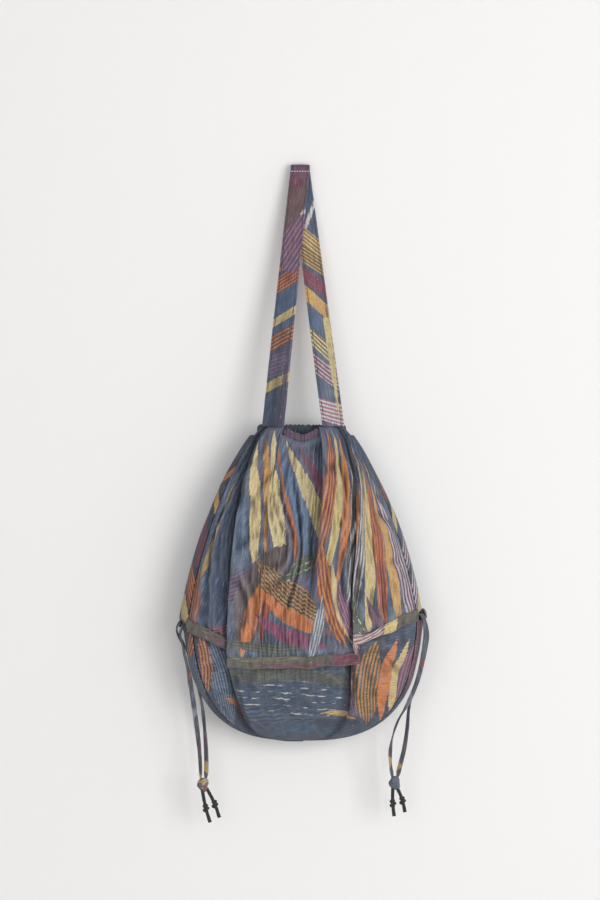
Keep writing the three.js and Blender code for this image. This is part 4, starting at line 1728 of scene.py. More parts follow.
@dataclass(frozen=True)
class Columns:
    """The front's columns: those of a span between fold lines, and those of the tuck at a line."""

    span: Array
    along: Array
    line: Array
    q: Array

    @staticmethod
    def spread(span_steps: Sequence[int], tuck_steps: int) -> "Columns":
        """Lay the columns from the left seam to the right one.

        Args:
            span_steps: how many steps each span has.
            tuck_steps: how many steps the tuck at each inner line has.

        Returns:
            The columns.
        """
        rows = []
        for span, steps in enumerate(span_steps):
            rows.extend((span, i / steps, -1, 0.0) for i in range(steps + 1))
            if span + 1 < len(span_steps):
                rows.extend((span, 1.0, span + 1, 2 * j / tuck_steps - 1) for j in range(1, tuck_steps))
        span, along, line, q = (np.array(values) for values in zip(*rows))
        return Columns(span.astype(int), along, line.astype(int), q)


@dataclass(frozen=True)
class Folds:
    """How high a panel's folds stand and how far those at its edges reach, in millimetres."""

    pucker: float
    pucker_reach: float
    broad: float
    small: float = 0.0
    fan: float = 0.0
    fan_reach: float = 1.0
    hanging: float = 0.0
    ridges: tuple[float, float] = (0.0, 0.0)
    swell: float = 0.0
    edge: float = 0.0


@dataclass
class FrontCloth:
    """The front of the bag: the pleated upper panel, the waist band and the bowl's front."""

    form: BagForm = FORM
    tucks: tuple[Tuck, ...] = (
        Tuck(0.0, 0.012, 0, 0, 0),
        Tuck(0.058, 0.05, 0.55, 1.0, 0.0),
        Tuck(0.0, 0.03, 0.0, 0.0, 0.0),
        Tuck(0.062, 0.05, 1.0, 0.1, 0.0),
        Tuck(0.05, 0.045, 0.0, 1.0, 0.0),
        Tuck(0.0, 0.012, 0, 0, 0),
    )
    span_steps: tuple[int, ...] = (30, 18, 52, 34, 38)
    tuck_steps: int = 16
    upper_rows: int = 130
    bowl_rows: int = 84
    channel_half: float = 7.5
    casing_height: float = 12.0
    casing_dip: float = 9.0
    crease_gain: float = 2.0
    turned_edge: tuple[tuple[float, float], ...] = ((0.9, 1.0), (2.4, 1.2), (4.5, 0.4))
    stitch_places: tuple[tuple[float, float], ...] = ((2.5, 5.2), (3.4, -5.6))
    # Where the painted shadow beside each fold starts and how far it reaches.
    overhang: float = 0.024
    shade_span: tuple[float, float] = (30.0, 12.0)
    bowl_crowding: float = 0.92
    band_seed: int = 51
    pinch_x: float = 92.0
    upper_folds: Folds = Folds(
        2.6, 17, 3.0, 0.9, fan=3.6, fan_reach=44, hanging=2.3, ridges=(2.6, 1.5), swell=2.2, edge=1.6
    )
    bowl_folds: Folds = Folds(2.4, 24, 3.4, 0.9, ridges=(0.0, 1.5), edge=1.0)
    creases: tuple[Crease, ...] = (
        Crease((-50, -352), (-112, -560), 17, 3.2),
        Crease((-34, -350), (-80, -520), 7, -1.8),
        Crease((2, -362), (-40, -470), 8, 2.2, True),
        Crease((-12, -366), (-66, -452), 5, 1.6, True),
        Crease((3, -440), (2, -522), 6, 2.8, True),
        Crease((17, -400), (10, -560), 7, -2.6),
        Crease((40, -350), (52, -470), 5, 1.6, True),
        Crease((49, -352), (84, -500), 7, 1.9, True),
        Crease((54, -372), (112, -540), 9, 1.6, True),
        Crease((36, -400), (38, -600), 10, 1.8),
        Crease((62, -600), (70, -500), 7, 2.0, True),
        Crease((76, -608), (96, -520), 8, 1.8, True),
        Crease((-60, -640), (-46, -560), 8, 1.4, True),
        Crease((-20, -642), (-6, -575), 9, 1.2, True),
    )
    bowl_creases: tuple[Crease, ...] = (
        Crease((-62, -655), (-58, -705), 8, 1.6, True),
        Crease((-30, -655), (-36, -700), 9, 1.0, True),
        Crease((70, -640), (74, -690), 6, 2.2, True),
        Crease((84, -632), (108, -700), 9, 1.6, True),
        Crease((110, -628), (134, -660), 8, 1.2, True),
        Crease((-110, -640), (-120, -700), 9, 1.2, True),
        Crease((-40, -722), (90, -716), 9, 1.2, True),
        Crease((-70, -700), (40, -690), 10, 0.8, True),
    )

    def __post_init__(self) -> None:
        """Lay the columns and draw the noises."""
        self.columns = Columns.spread(self.span_steps, self.tuck_steps)
        self.coarse, self.fine = Ripple(41), Ripple(42)

    def strength(self, k: int, z: Array) -> Array:
        """Return how strong the tuck of line k is at a height.

        Args:
            k: the number of the fold line.
            z: the height.

        Returns:
            The strength, 0 to 1.
        """
        tuck = self.tucks[k]
        down, bowl = self.form.down_share(z), self.form.bowl_share(z)
        upper = between(tuck.at_mouth, tuck.at_waist, np.minimum(1, 1.3 * down))
        return upper * (1 - step_up(0.35, 0.95, bowl)) + tuck.at_bottom * step_up(0.35, 0.95, bowl)

    def shares(self, line_at: Callable[[int, Array], Array], v: Array, z: Array) -> Array:
        """Return each column's share of the half width, with the doubled cloth at the tucks.

        Args:
            line_at: the share of a fold line by its number and the panel share.
            v: the panel share of each point.
            z: the height of each point.

        Returns:
            The shares, one for each point of the grid.
        """
        cols = self.columns
        shares = np.zeros(np.broadcast_shapes(v.shape, z.shape))
        v, z = np.broadcast_to(v, shares.shape), np.broadcast_to(z, shares.shape)
        for span in range(5):
            own = (cols.span == span) & (cols.line < 0)
            first = line_at(span, v[:, own]) + self.tucks[span].reach
            last = line_at(span + 1, v[:, own]) - self.tucks[span + 1].reach
            shares[:, own] = between(first, last, cols.along[own])
        for k in range(1, 5):
            own = cols.line == k
            q, tuck = cols.q[own], self.tucks[k]
            doubled = tuck.overlap * self.strength(k, z[:, own]) * np.sin(np.pi * q)
            shares[:, own] = line_at(k, v[:, own]) + (tuck.reach * q - doubled)
        return shares

    def across(self, values: Callable[[int, Array, Array], Array], z: Array, soft: float = 1.0) -> Array:
        """Return a quantity that is given by span, joined smoothly through the tucks.

        Args:
            values: the quantity by span, place across the span and height.
            z: the height of each point.
            soft: the half width of the join, as a share of the tuck.

        Returns:
            The quantity at each point of the grid.
        """
        cols = self.columns
        made = np.zeros(z.shape)
        for span in range(5):
            own = (cols.span == span) & (cols.line < 0)
            made[:, own] = values(span, cols.along[own], z[:, own])
        for k in range(1, 5):
            own = cols.line == k
            share = step_up(-soft, soft, cols.q[own])
            left = values(k - 1, np.array(1.0), z[:, own])
            right = values(k, np.array(0.0), z[:, own])
            made[:, own] = between(left, right, share)
        return made

    def from_seams(self) -> Array:
        """Return how free each column is of the side seams, 0 to 1."""
        return step_up(0.0, 0.22, self.from_seam_share())

    def from_seam_share(self) -> Array:
        """Return each column's place from the nearer side seam: 0 there and 1 past the outer spans."""
        cols = self.columns
        left = np.where(cols.span == 0, cols.along, 1.0)
        right = np.where(cols.span == 4, 1 - cols.along, 1.0)
        return np.where(cols.line > 0, 1.0, np.minimum(left, right))[None, :]

    def waist_height(self, span: int, along: Array, z: Array) -> Array:
        """Return the height of the waist seam's middle in a span."""
        left, right = self.form.waist_line[span]
        return between(left, right, along) + 0 * z

    def rim_height(self, span: int, along: Array, z: Array) -> Array:
        """Return the height of the upper panel's top edge in a span.

        Args:
            span: the span between two fold lines.
            along: the place across that span, 0 to 1.
            z: any array of the result's shape.

        Returns:
            The heights.
        """
        if span != 2:
            return self.form.mouth_z + 0 * (along + z)
        dip = self.casing_dip * np.sin(np.pi * np.clip(along, 0, 1)) ** 1.5
        return self.form.mouth_z + 1.4 - dip - self.casing_height + 0 * z

    def upper_points(self) -> tuple[Array, Array, Array]:
        """Return the upper panel's points, its outward directions and its places on the flat cloth."""
        form, count = self.form, len(self.columns.q)
        blank = np.zeros((1, count))
        top = self.across(self.rim_height, blank, 0.7)
        bottom = self.across(self.waist_height, blank, 0.5) + self.channel_half - 0.5
        v = np.linspace(0, 1, self.upper_rows)[:, None]
        z = between(top, bottom, v)
        surface = partial(form.front_point, form.upper)
        share = self.shares(form.upper_line, v + 0 * z, z)
        normal = form.outward(surface, share, z, np.minimum(v, 1 - v) + 0 * z)
        smooth = surface(share, z)
        lift = self.across(form.relief, z) + self.upper_lift(smooth, v, z, top, bottom) * self.from_seams()
        points = smooth + normal * lift[..., None]
        flat = self.flat_places(points, bottom)
        return points, normal, flat

    def upper_lift(self, smooth: Array, v: Array, z: Array, top: Array, bottom: Array) -> Array:
        """Return the height of the soft folds on the upper panel.

        Args:
            smooth: the points on the smooth form.
            v: the panel share of each row.
            z: the height of each point.
            top: the height of the top edge by column.
            bottom: the height of the bottom edge by column.

        Returns:
            The lift, in millimetres.
        """
        folds, x = self.upper_folds, smooth[..., 0]
        share = np.arange(smooth.shape[1])[None, :] / smooth.shape[1]
        lift = sum(crease.height(x, z) for crease in self.creases)
        lift = lift * self.crease_gain + self.tuck_lift(self.form.upper, self.form.upper_line, x, v, z)
        from_top, from_waist = top - z, z - bottom
        sway = self.coarse.at(share * 5, z / 110) * 1.6
        first, second = share * 9.5 + sway, share * 17 + sway * 1.7 + 0.3
        hang = np.sin(2 * np.pi * first) + 0.6 * np.sin(2 * np.pi * second)
        free = step_up(-10, 70, from_top) * (0.45 + 0.55 * step_up(0, 80, from_waist))
        lift = lift + hang * folds.hanging * free
        lift = lift + ridge(self.coarse.at(share * 30 + x / 50, z / 90)) * folds.ridges[0]
        lift = lift + ridge(self.fine.at(share * 38 + z / 130, z / 60 + 3)) * folds.ridges[1]
        fan = self.coarse.at(share * 46, z / 90) * folds.fan
        fan = fan * np.exp(-from_top / folds.fan_reach) * step_up(0, 10, from_top)
        pucker = self.fine.at(share * 52, z / 30 + 9) * folds.pucker
        pucker = pucker * np.exp(-from_waist / folds.pucker_reach)
        broad = self.coarse.at(x / 34 + 3, z / 58) * folds.broad + self.fine.at(x / 14, z / 34) * folds.small
        pressed = bell(from_top, 3.5) + bell(from_waist, 3)
        blouse = folds.swell * bell(from_waist - 7, 8) - folds.edge * pressed
        hold = step_up(0, 0.05, v)
        return lift * hold + fan + pucker + broad * hold * step_up(0, 0.08, 1 - v) + blouse

    def tuck_lift(
        self, section: Section, line_at: Callable[[int, Array], Array], x: Array, v: Array, z: Array
    ) -> Array:
        """Return how far the cloth beside each fold line stands out or lies back.

        Args:
            section: the widths and depths of the panel's part of the bag.
            line_at: the share of a fold line by its number and the panel share.
            x: the points' places across.
            v: the panel share of each row.
            z: the height of each point.

        Returns:
            The lift, in millimetres.
        """
        cols = self.columns
        bowl = self.form.bowl_share(z)
        above = 1 - step_up(0.0, 0.2, bowl)
        below = step_up(0.0, 0.2, bowl) * np.maximum(1 - bowl, 0) ** 0.5
        growing, fading = 0.35 + 0.65 * np.minimum(1, 1.3 * v), 1 - step_up(0.4, 0.85, v)
        sides = {
            1: (26.0, 10.0 * (above * growing + 0.7 * below), 20.0, 3.5 * (above * growing + 0.7 * below)),
            3: (16.0, 9.0 * above * fading * step_up(-0.02, 0.06, v), 15.0, 4.0 * above * fading),
            4: (12.0, 5.0 * (above * v**2 + 0.6 * below), 14.0, 3.0 * (above * v**2 + 0.6 * below)),
        }
        lift = np.zeros_like(x)
        for k, (left_width, left_depth, right_width, right_rise) in sides.items():
            line = self.form.front_point(section, line_at(k, v + 0 * z), z)[..., 0]
            reach = self.tucks[k].reach * self.form.waist_half[0]
            aside = np.maximum(np.abs(x - line) - reach, 0)
            fall = -left_depth * (0.7 * bell(aside, left_width) + 0.5 * bell(aside, 6))
            rise = right_rise * bell(aside, right_width)
            past = np.where(cols.line == k, step_up(-0.6, 0.6, cols.q), 1.0 * (cols.span >= k))
            lift += between(fall, rise, past)
        return lift

    def tucked(
        self, section: Section, line_at: Callable[[int, Array], Array], v: Array, z: Array, x: Array
    ) -> Array:
        """Return how far each point lies under the fold on its right, 0 to 1, which sets the painted shadow
        there.

        Args:
            section: the widths and depths of the panel's part of the bag.
            line_at: the share of a fold line by its number and the panel share.
            v: the panel share of each row.
            z: the height of each point.
            x: the points' places across.

        Returns:
            The shares.
        """
        cols = self.columns
        upper = section is self.form.upper
        folds = {1: (8.0, 0.45 + 0.55 * v), 3: (7.0, 1 - step_up(0.35, 0.75, v)), 4: (6.0, v**2)}
        if not upper:
            folds = {1: (7.0, (1 - v) ** 0.5), 4: (5.0, (1 - v) ** 0.5)}
        under = np.zeros_like(x)
        for k, (width, share) in folds.items():
            line = self.form.front_point(section, line_at(k, v + 0 * z), z)[..., 0]
            edge = line - self.overhang * self.form.waist_half[0]
            left = (cols.span < k) | ((cols.line == k) & (cols.q < 0.2))
            near = (x > edge - self.shade_span[0]) & (x < line + self.shade_span[1])
            shade = bell(np.minimum(x - edge, 0), width)
            under = np.maximum(under, shade * share * left * near)
        return under

    def flat_places(self, points: Array, level: Array) -> Array:
        """Return the places on the flat cloth: across at the row next to the waist, and along each column.

        Args:
            points: the cloth's points.
            level: the height at which each column's length is counted from.

        Returns:
            The places, in millimetres.
        """
        across = arc_lengths(points[-1:], 1)
        across = across - across[0, np.abs(points[-1, :, 0]).argmin()]
        run = arc_lengths(points, 0)
        return np.stack([np.broadcast_to(across, run.shape), level + run[-1:] - run], axis=-1)

    def upper_sheet(self) -> Sheet:
        """Return the upper panel, its lower edge turned in over the band."""
        points, normal, flat = self.upper_points()
        edge, out, places = points[-1], normal[-1], flat[-1]
        turned, turned_flat = [], []
        for inward, down in self.turned_edge:
            lowered = edge - out * inward
            lowered[..., 2] -= down
            turned.append(lowered)
            turned_flat.append(places - np.array([0.0, inward]))
        v = np.linspace(0, 1, self.upper_rows)[:, None]
        # Painted shadow beside the folds.
        under = self.tucked(self.form.upper, self.form.upper_line, v, points[..., 2], points[..., 0])
        points = np.concatenate([points, np.stack(turned)])
        flat = np.concatenate([flat, np.stack(turned_flat)])
        return Sheet("upper_front_cloth", points, flat, tucked=np.pad(under, ((0, 3), (0, 0)), mode="edge"))

    def stations(self) -> tuple[Array, Array, Array]:
        """Return the waist seam's points, outward directions and heights along the front."""
        form = self.form
        z = self.across(self.waist_height, np.zeros((1, len(self.columns.q))), 0.5)
        share = self.shares(form.upper_line, np.ones_like(z), z)
        surface = partial(form.front_point, form.upper)
        normal = form.outward(surface, share, np.full_like(z, form.waist_z), 0)
        points = surface(share, z) + normal * self.across(form.relief, z)[..., None]
        return points[0], normal[0], z[0]

    def band_sheet(self) -> Sheet:
        """Return the front of the waist band, the casing that the drawstring runs in."""
        points, normal, _ = self.stations()
        return band("waist_band_front", points, normal, self.band_seed, self.pinch_x)

    def band_stitches(self) -> list[Array]:
        """Return the lines of stitching near the band's two edges."""
        points, normal, _ = self.stations()
        rows = []
        for out, up in self.stitch_places:
            row = points + normal * out
            row[:, 2] += up
            rows.append(row)
        return rows

    def bowl_sheet(self) -> Sheet:
        """Return the bowl's front, whose top is tucked under the band."""
        form = self.form
        blank = np.zeros((1, len(self.columns.q)))
        inside = self.from_seam_share()
        top = self.across(self.waist_height, blank, 0.5) - self.channel_half + 2.5 - 2.4 * (1 - inside)
        v = np.linspace(0, 1, self.bowl_rows)[:, None] ** self.bowl_crowding
        z = between(top, form.bottom_z, ease(v))
        own = self.shares(form.lower_line, v + 0 * z, z)
        at_waist = self.shares(form.upper_line, np.ones_like(z), z)
        upper = partial(form.front_point, form.upper)
        inward = form.outward(upper, at_waist, np.full_like(z, form.waist_z), 0) * -form.bowl_tuck
        above = (upper(at_waist, z) + inward)[..., 0] - form.centre_x
        left, right, _, _ = form.lower(z)
        held = above / np.maximum(np.where(above < 0, left, right), 1)
        share = between(own, held, inside * (1 - v) ** 3)
        surface = lambda u, w: form.front_point(form.lower, np.clip(u, -1, 1), w)
        normal = form.outward(surface, share, z, v + 0 * z)
        normal[-1] = (0.0, 0.0, -1.0)
        smooth = surface(share, z)
        lift = self.across(form.relief, z) + self.bowl_lift(smooth, z, top, v) * self.from_seams()
        points = smooth + normal * (lift * step_up(0, 0.25, 1 - v))[..., None]
        across = arc_lengths(points[:1], 1)
        across = across - across[0, np.abs(points[0, :, 0]).argmin()]
        run = arc_lengths(points, 0)
        narrowing = np.maximum(0.25, np.minimum(1, (left + right) / (left[:1] + right[:1])))
        flat = np.stack([across * narrowing, top - run], axis=-1)
        # Painted shadow beside the folds.
        under = self.tucked(form.lower, form.lower_line, v, points[..., 2], points[..., 0])
        return Sheet("lower_front_cloth", points, flat, tucked=under)

    def bowl_lift(self, smooth: Array, z: Array, top: Array, v: Array) -> Array:
        """Return the height of the soft folds on the bowl's front.

        Args:
            smooth: the points on the smooth form.
            z: the height of each point.
            top: the height of the top edge by column.
            v: the panel share of each row.

        Returns:
            The lift, in millimetres.
        """
        folds, x, down = self.bowl_folds, smooth[..., 0], top - z
        share = np.arange(smooth.shape[1])[None, :] / smooth.shape[1]
        lift = sum(crease.height(x, z) for crease in self.bowl_creases) * self.crease_gain
        lift = lift + self.tuck_lift(self.form.lower, self.form.lower_line, x, v, z)
        pucker = self.fine.at(share * 60 + 5, z / 34) * folds.pucker * np.exp(-down / folds.pucker_reach)
        broad = self.coarse.at(x / 40 + 8, z / 34) * folds.broad
        broad = broad + self.fine.at(x / 22, z / 11 + 4) * folds.small
        broad = broad + ridge(self.fine.at(x / 30 + z / 60, z / 34)) * folds.ridges[1]
        return lift + pucker + broad * step_up(0, 0.1, v) - folds.edge * bell(down, 5)


def band(name: str, points: Array, normal: Array, seed: int, pinch_x: float | None = None) -> Sheet:
    """Return a puckered waist band over stations of the waist seam.

    Args:
        name: the piece's name.
        points: the seam's points.
        normal: the outward direction at each.
        seed: the seed of its puckers.
        pinch_x: where across the bag the band is pinched narrow, if anywhere.

    Returns:
        The band's sheet.
    """
    profile = np.array(
        [
            (-6.0, 6.2), (-2.0, 7.4), (0.8, 7.7), (2.1, 6.9), (2.5, 5.4), (2.9, 3.0), (3.0, 0.4),
            (3.1, -2.2), (3.2, -4.8), (2.9, -6.6), (1.9, -7.7), (0.2, -8.1), (-3.0, -7.7), (-6.0, -6.6),
        ]
    )
    fine = np.linspace(0, len(profile) - 1, 34)
    out = np.interp(fine, np.arange(len(profile)), profile[:, 0])[:, None]
    up = np.interp(fine, np.arange(len(profile)), profile[:, 1])[:, None]
    run = arc_lengths(points, 0)[None, :]
    ripple = Ripple(seed)
    face = np.exp(-((up / 7.0) ** 4)) * (out > 0)
    pucker = ripple.at(run / 7.5, up / 22) * 1.5 + ripple.at(run / 21 + 5, up / 16) * 2.2
    pucker = pucker + ridge(ripple.at(run / 15 + 2, up / 26 + 7)) * 1.4
    edge = ripple.at(run / 24 + 9, 0 * up) * 1.5
    narrow = 1.0 if pinch_x is None else 1 - 0.4 * np.exp(-(((points[:, 0] - pinch_x) / 16) ** 2))[None, :]
    place = points[None] + normal[None] * (out + pucker * face)[..., None]
    place[..., 2] += up * narrow + edge
    flat = np.stack(np.broadcast_arrays(run, up - 640), axis=-1)
    return Sheet(name, place, flat, thickness=0.9)


@dataclass
class BackCloth:
    """The back of the bag: the upper panel, the waist band and the bowl's back."""

    form: BagForm = FORM
    count: int = 210
    upper_rows: int = 90
    bowl_rows: int = 64
    turned_edge: tuple[tuple[float, float], ...] = ((2.0, 2.0), (4.6, 6.0), (4.8, 12.0), (4.8, 17.0))
    bowl_crowding: float = 0.92
    band_steps: int = 190
    band_seed: int = 52
    channel_half: float = 7.5
    channel_start: float = 0.08
    channel_end: float = 0.84
    casing_height: float = 12.0
    upper_folds: Folds = Folds(1.4, 14, 2.4, 0.7, fan=2.2, fan_reach=36)
    bowl_folds: Folds = Folds(1.6, 18, 1.4)

    def __post_init__(self) -> None:
        """Draw the noises of the folds."""
        self.coarse, self.fine = Ripple(61), Ripple(62)

    def grid(
        self, section: Section, top: Array, bottom: Array, v: Array, eased: bool
    ) -> tuple[Array, Array, Array]:
        """Return the smooth points, outward directions and heights of a back panel.

        Args:
            section: the widths and depths by height.
            top: the height of the top edge by column.
            bottom: the height of the bottom edge by column.
            v: the panel share by row.
            eased: whether rows close up towards the bottom.

        Returns:
            The points, the directions and the heights.
        """
        share = np.linspace(0, 1, self.count)[None, :]
        z = between(top, bottom, ease(v) if eased else v)
        surface = lambda u, w: self.form.back_point(section, np.clip(u, 0, 1), w)
        from_edge = v if eased else np.minimum(v, 1 - v)
        normal = self.form.outward(surface, share + 0 * z, z, from_edge + 0 * z)
        return surface(share + 0 * z, z), normal, z

    @staticmethod
    def flat_places(points: Array, row: int, level: float) -> Array:
        """Return the places on the flat cloth: across at one row, and down each column from a level.

        Args:
            points: the cloth's points.
            row: the row that is laid out flat.
            level: the height at which each column starts.

        Returns:
            The places, in millimetres.
        """
        length = arc_lengths(points, 0)
        across = np.broadcast_to(arc_lengths(points[[row]], 1), length.shape)
        return np.stack([across, level - length], axis=-1)

    def upper_sheet(self) -> Sheet:
        """Return the upper back panel, its lower edge tucked in behind the band."""
        share = np.linspace(0, 1, self.count)[None, :]
        v = np.linspace(0, 1, self.upper_rows)[:, None]
        top = np.full_like(share, self.form.mouth_z - self.casing_height + 1)
        bottom = self.form.back_waist(share) + self.channel_half - 1
        points, normal, z = self.grid(self.form.upper, top, bottom, v, False)
        run, folds = share * 330, self.upper_folds
        fan = self.coarse.at(share * 40, z / 90) * folds.fan * np.exp((z - top) / folds.fan_reach)
        pucker = self.fine.at(share * 62, z / 30) * folds.pucker * np.exp((bottom - z) / folds.pucker_reach)
        broad = self.coarse.at(run / 40 + 3, z / 60) * folds.broad
        broad = broad + self.fine.at(run / 17, z / 45) * folds.small
        inside = np.sin(np.pi * share) ** 0.5
        lift = (fan + pucker + broad * np.sin(np.pi * np.clip(v, 0, 1)) ** 0.4) * inside - 0.8 * (1 - inside)
        points = points + normal * lift[..., None]
        turned = []
        for inward, down in self.turned_edge:
            row = points[-1] - normal[-1] * inward
            row[..., 2] -= down
            turned.append(row)
        points = np.concatenate([points, np.stack(turned)])
        return Sheet("upper_back_cloth", points, self.flat_places(points, -5, -340.0))

    def band_sheet(self) -> Sheet:
        """Return the back of the waist band."""
        share = np.linspace(self.channel_start, self.channel_end, self.band_steps)
        z = self.form.back_waist(share)
        surface = partial(self.form.back_point, self.form.upper)
        normal = self.form.outward(surface, share, z, 0 * z)
        return band("waist_band_back", surface(share, z), normal, self.band_seed)

    def bowl_sheet(self) -> Sheet:
        """Return the bowl's back."""
        share = np.linspace(0, 1, self.count)[None, :]
        v = np.linspace(0, 1, self.bowl_rows)[:, None] ** self.bowl_crowding
        drop = 2.4 * (1 - np.sin(np.pi * share)) - 2.5
        top = self.form.back_waist(share) - self.channel_half - drop
        bottom = np.full_like(share, self.form.bottom_z)
        points, normal, z = self.grid(self.form.lower, top, bottom, v, True)
        normal[-1] = (0.0, 0.0, -1.0)
        folds = self.bowl_folds
        pucker = self.fine.at(share * 60 + 5, z / 34) * folds.pucker * np.exp((z - top) / folds.pucker_reach)
        broad = self.coarse.at(share * 7, z / 40 + 5) * folds.broad
        inside = np.sin(np.pi * share) ** 0.5
        lift = (pucker + broad) * step_up(0, 0.25, 1 - v) * inside
        points = points + normal * lift[..., None]
        return Sheet("lower_back_cloth", points, self.flat_places(points, 0, -640.0))


@dataclass
class MouthHems:
    """The two ruched hems round the mouth, each a roll of cloth round its elastic."""

    form: BagForm = FORM
    casing_height: float = 12.0
    casing_dip: float = 9.0
    hem_start: float = 0.035
    overlap: float = 0.03
    front_steps: int = 150
    back_steps: int = 420
    half_deep: float = 4.6
    half_high: float = 6.7
    squareness: float = 0.85
    set_in: float = 3.6
    ruche_step: float = 5.6
    ruche_depths: tuple[float, float] = (2.2, 2.6)
    gathering: float = 1.8
    around: int = 40

    def roll(self, name: str, points: Array, normal: Array, seed: int, depth: float) -> Sheet:
        """Return one ruched roll.

        Args:
            name: the piece's name.
            points: the rim's points, at the roll's outer top.
            normal: the outward direction at each.
            seed: the seed of its ruches.
            depth: how deep the ruches are.

        Returns:
            The roll's sheet.
        """
        ripple = Ripple(seed)
        run = arc_lengths(points, 0)[:, None]
        angle = -np.linspace(0, 2 * np.pi, self.around, endpoint=False)[None, :]
        phase = run / self.ruche_step + ripple.at(run / 17, 0 * run) * 1.1 + 0.25 * np.sin(angle + 1)
        bulge = np.abs(np.sin(np.pi * phase)) ** 0.6
        uneven = ripple.at(run / 4 + 3, np.cos(angle) * 2 + 4) * 0.7
        uneven = uneven + ripple.at(run / 9, np.sin(angle) + 9) * 0.6
        swell = depth * (bulge - 0.6) + uneven * 0.8
        ends = np.clip(np.minimum(run, run[-1] - run) / 5, 0.35, 1) ** 0.5
        deep = (self.half_deep * ends + swell) * signed_power(np.cos(angle), self.squareness)
        high = (self.half_high * ends + swell * 0.7) * signed_power(np.sin(angle), self.squareness)
        place = points[:, None, :] + normal[:, None, :] * (deep - self.set_in)[..., None]
        place[..., 2] += high - self.casing_height / 2
        ring = arc_lengths(place, 1)
        flat = np.stack(np.broadcast_arrays(run * self.gathering, ring - 340), axis=-1)
        return Sheet(name, place, flat, closed=True, capped=True)

    def front_sheet(self) -> Sheet:
        """Return the front hem, which dips between the strap's feet."""
        form = self.form
        along = np.linspace(-self.overlap, 1 + self.overlap, self.front_steps)
        share = between(form.upper_line(2, 0), form.upper_line(3, 0), along)
        surface = partial(form.front_point, form.upper)
        level = np.full_like(share, form.mouth_z)
        points = surface(share, level)
        points[:, 2] -= 2 + self.casing_dip * np.sin(np.pi * np.clip(along, 0, 1)) ** 1.5
        normal = form.outward(surface, share, level, 0 * share)
        return self.roll("mouth_hem_front", points, normal, 71, self.ruche_depths[0])

    def back_sheet(self) -> Sheet:
        """Return the back hem, from seam to seam behind."""
        form = self.form
        share = np.linspace(self.hem_start, 1 - self.hem_start, self.back_steps)
        surface = partial(form.back_point, form.upper)
        level = np.full_like(share, form.mouth_z)
        normal = form.outward(surface, share, level, 0 * share)
        points = surface(share, level)
        points[:, 2] += 1.6
        return self.roll("mouth_hem_back", points, normal, 72, self.ruche_depths[1])


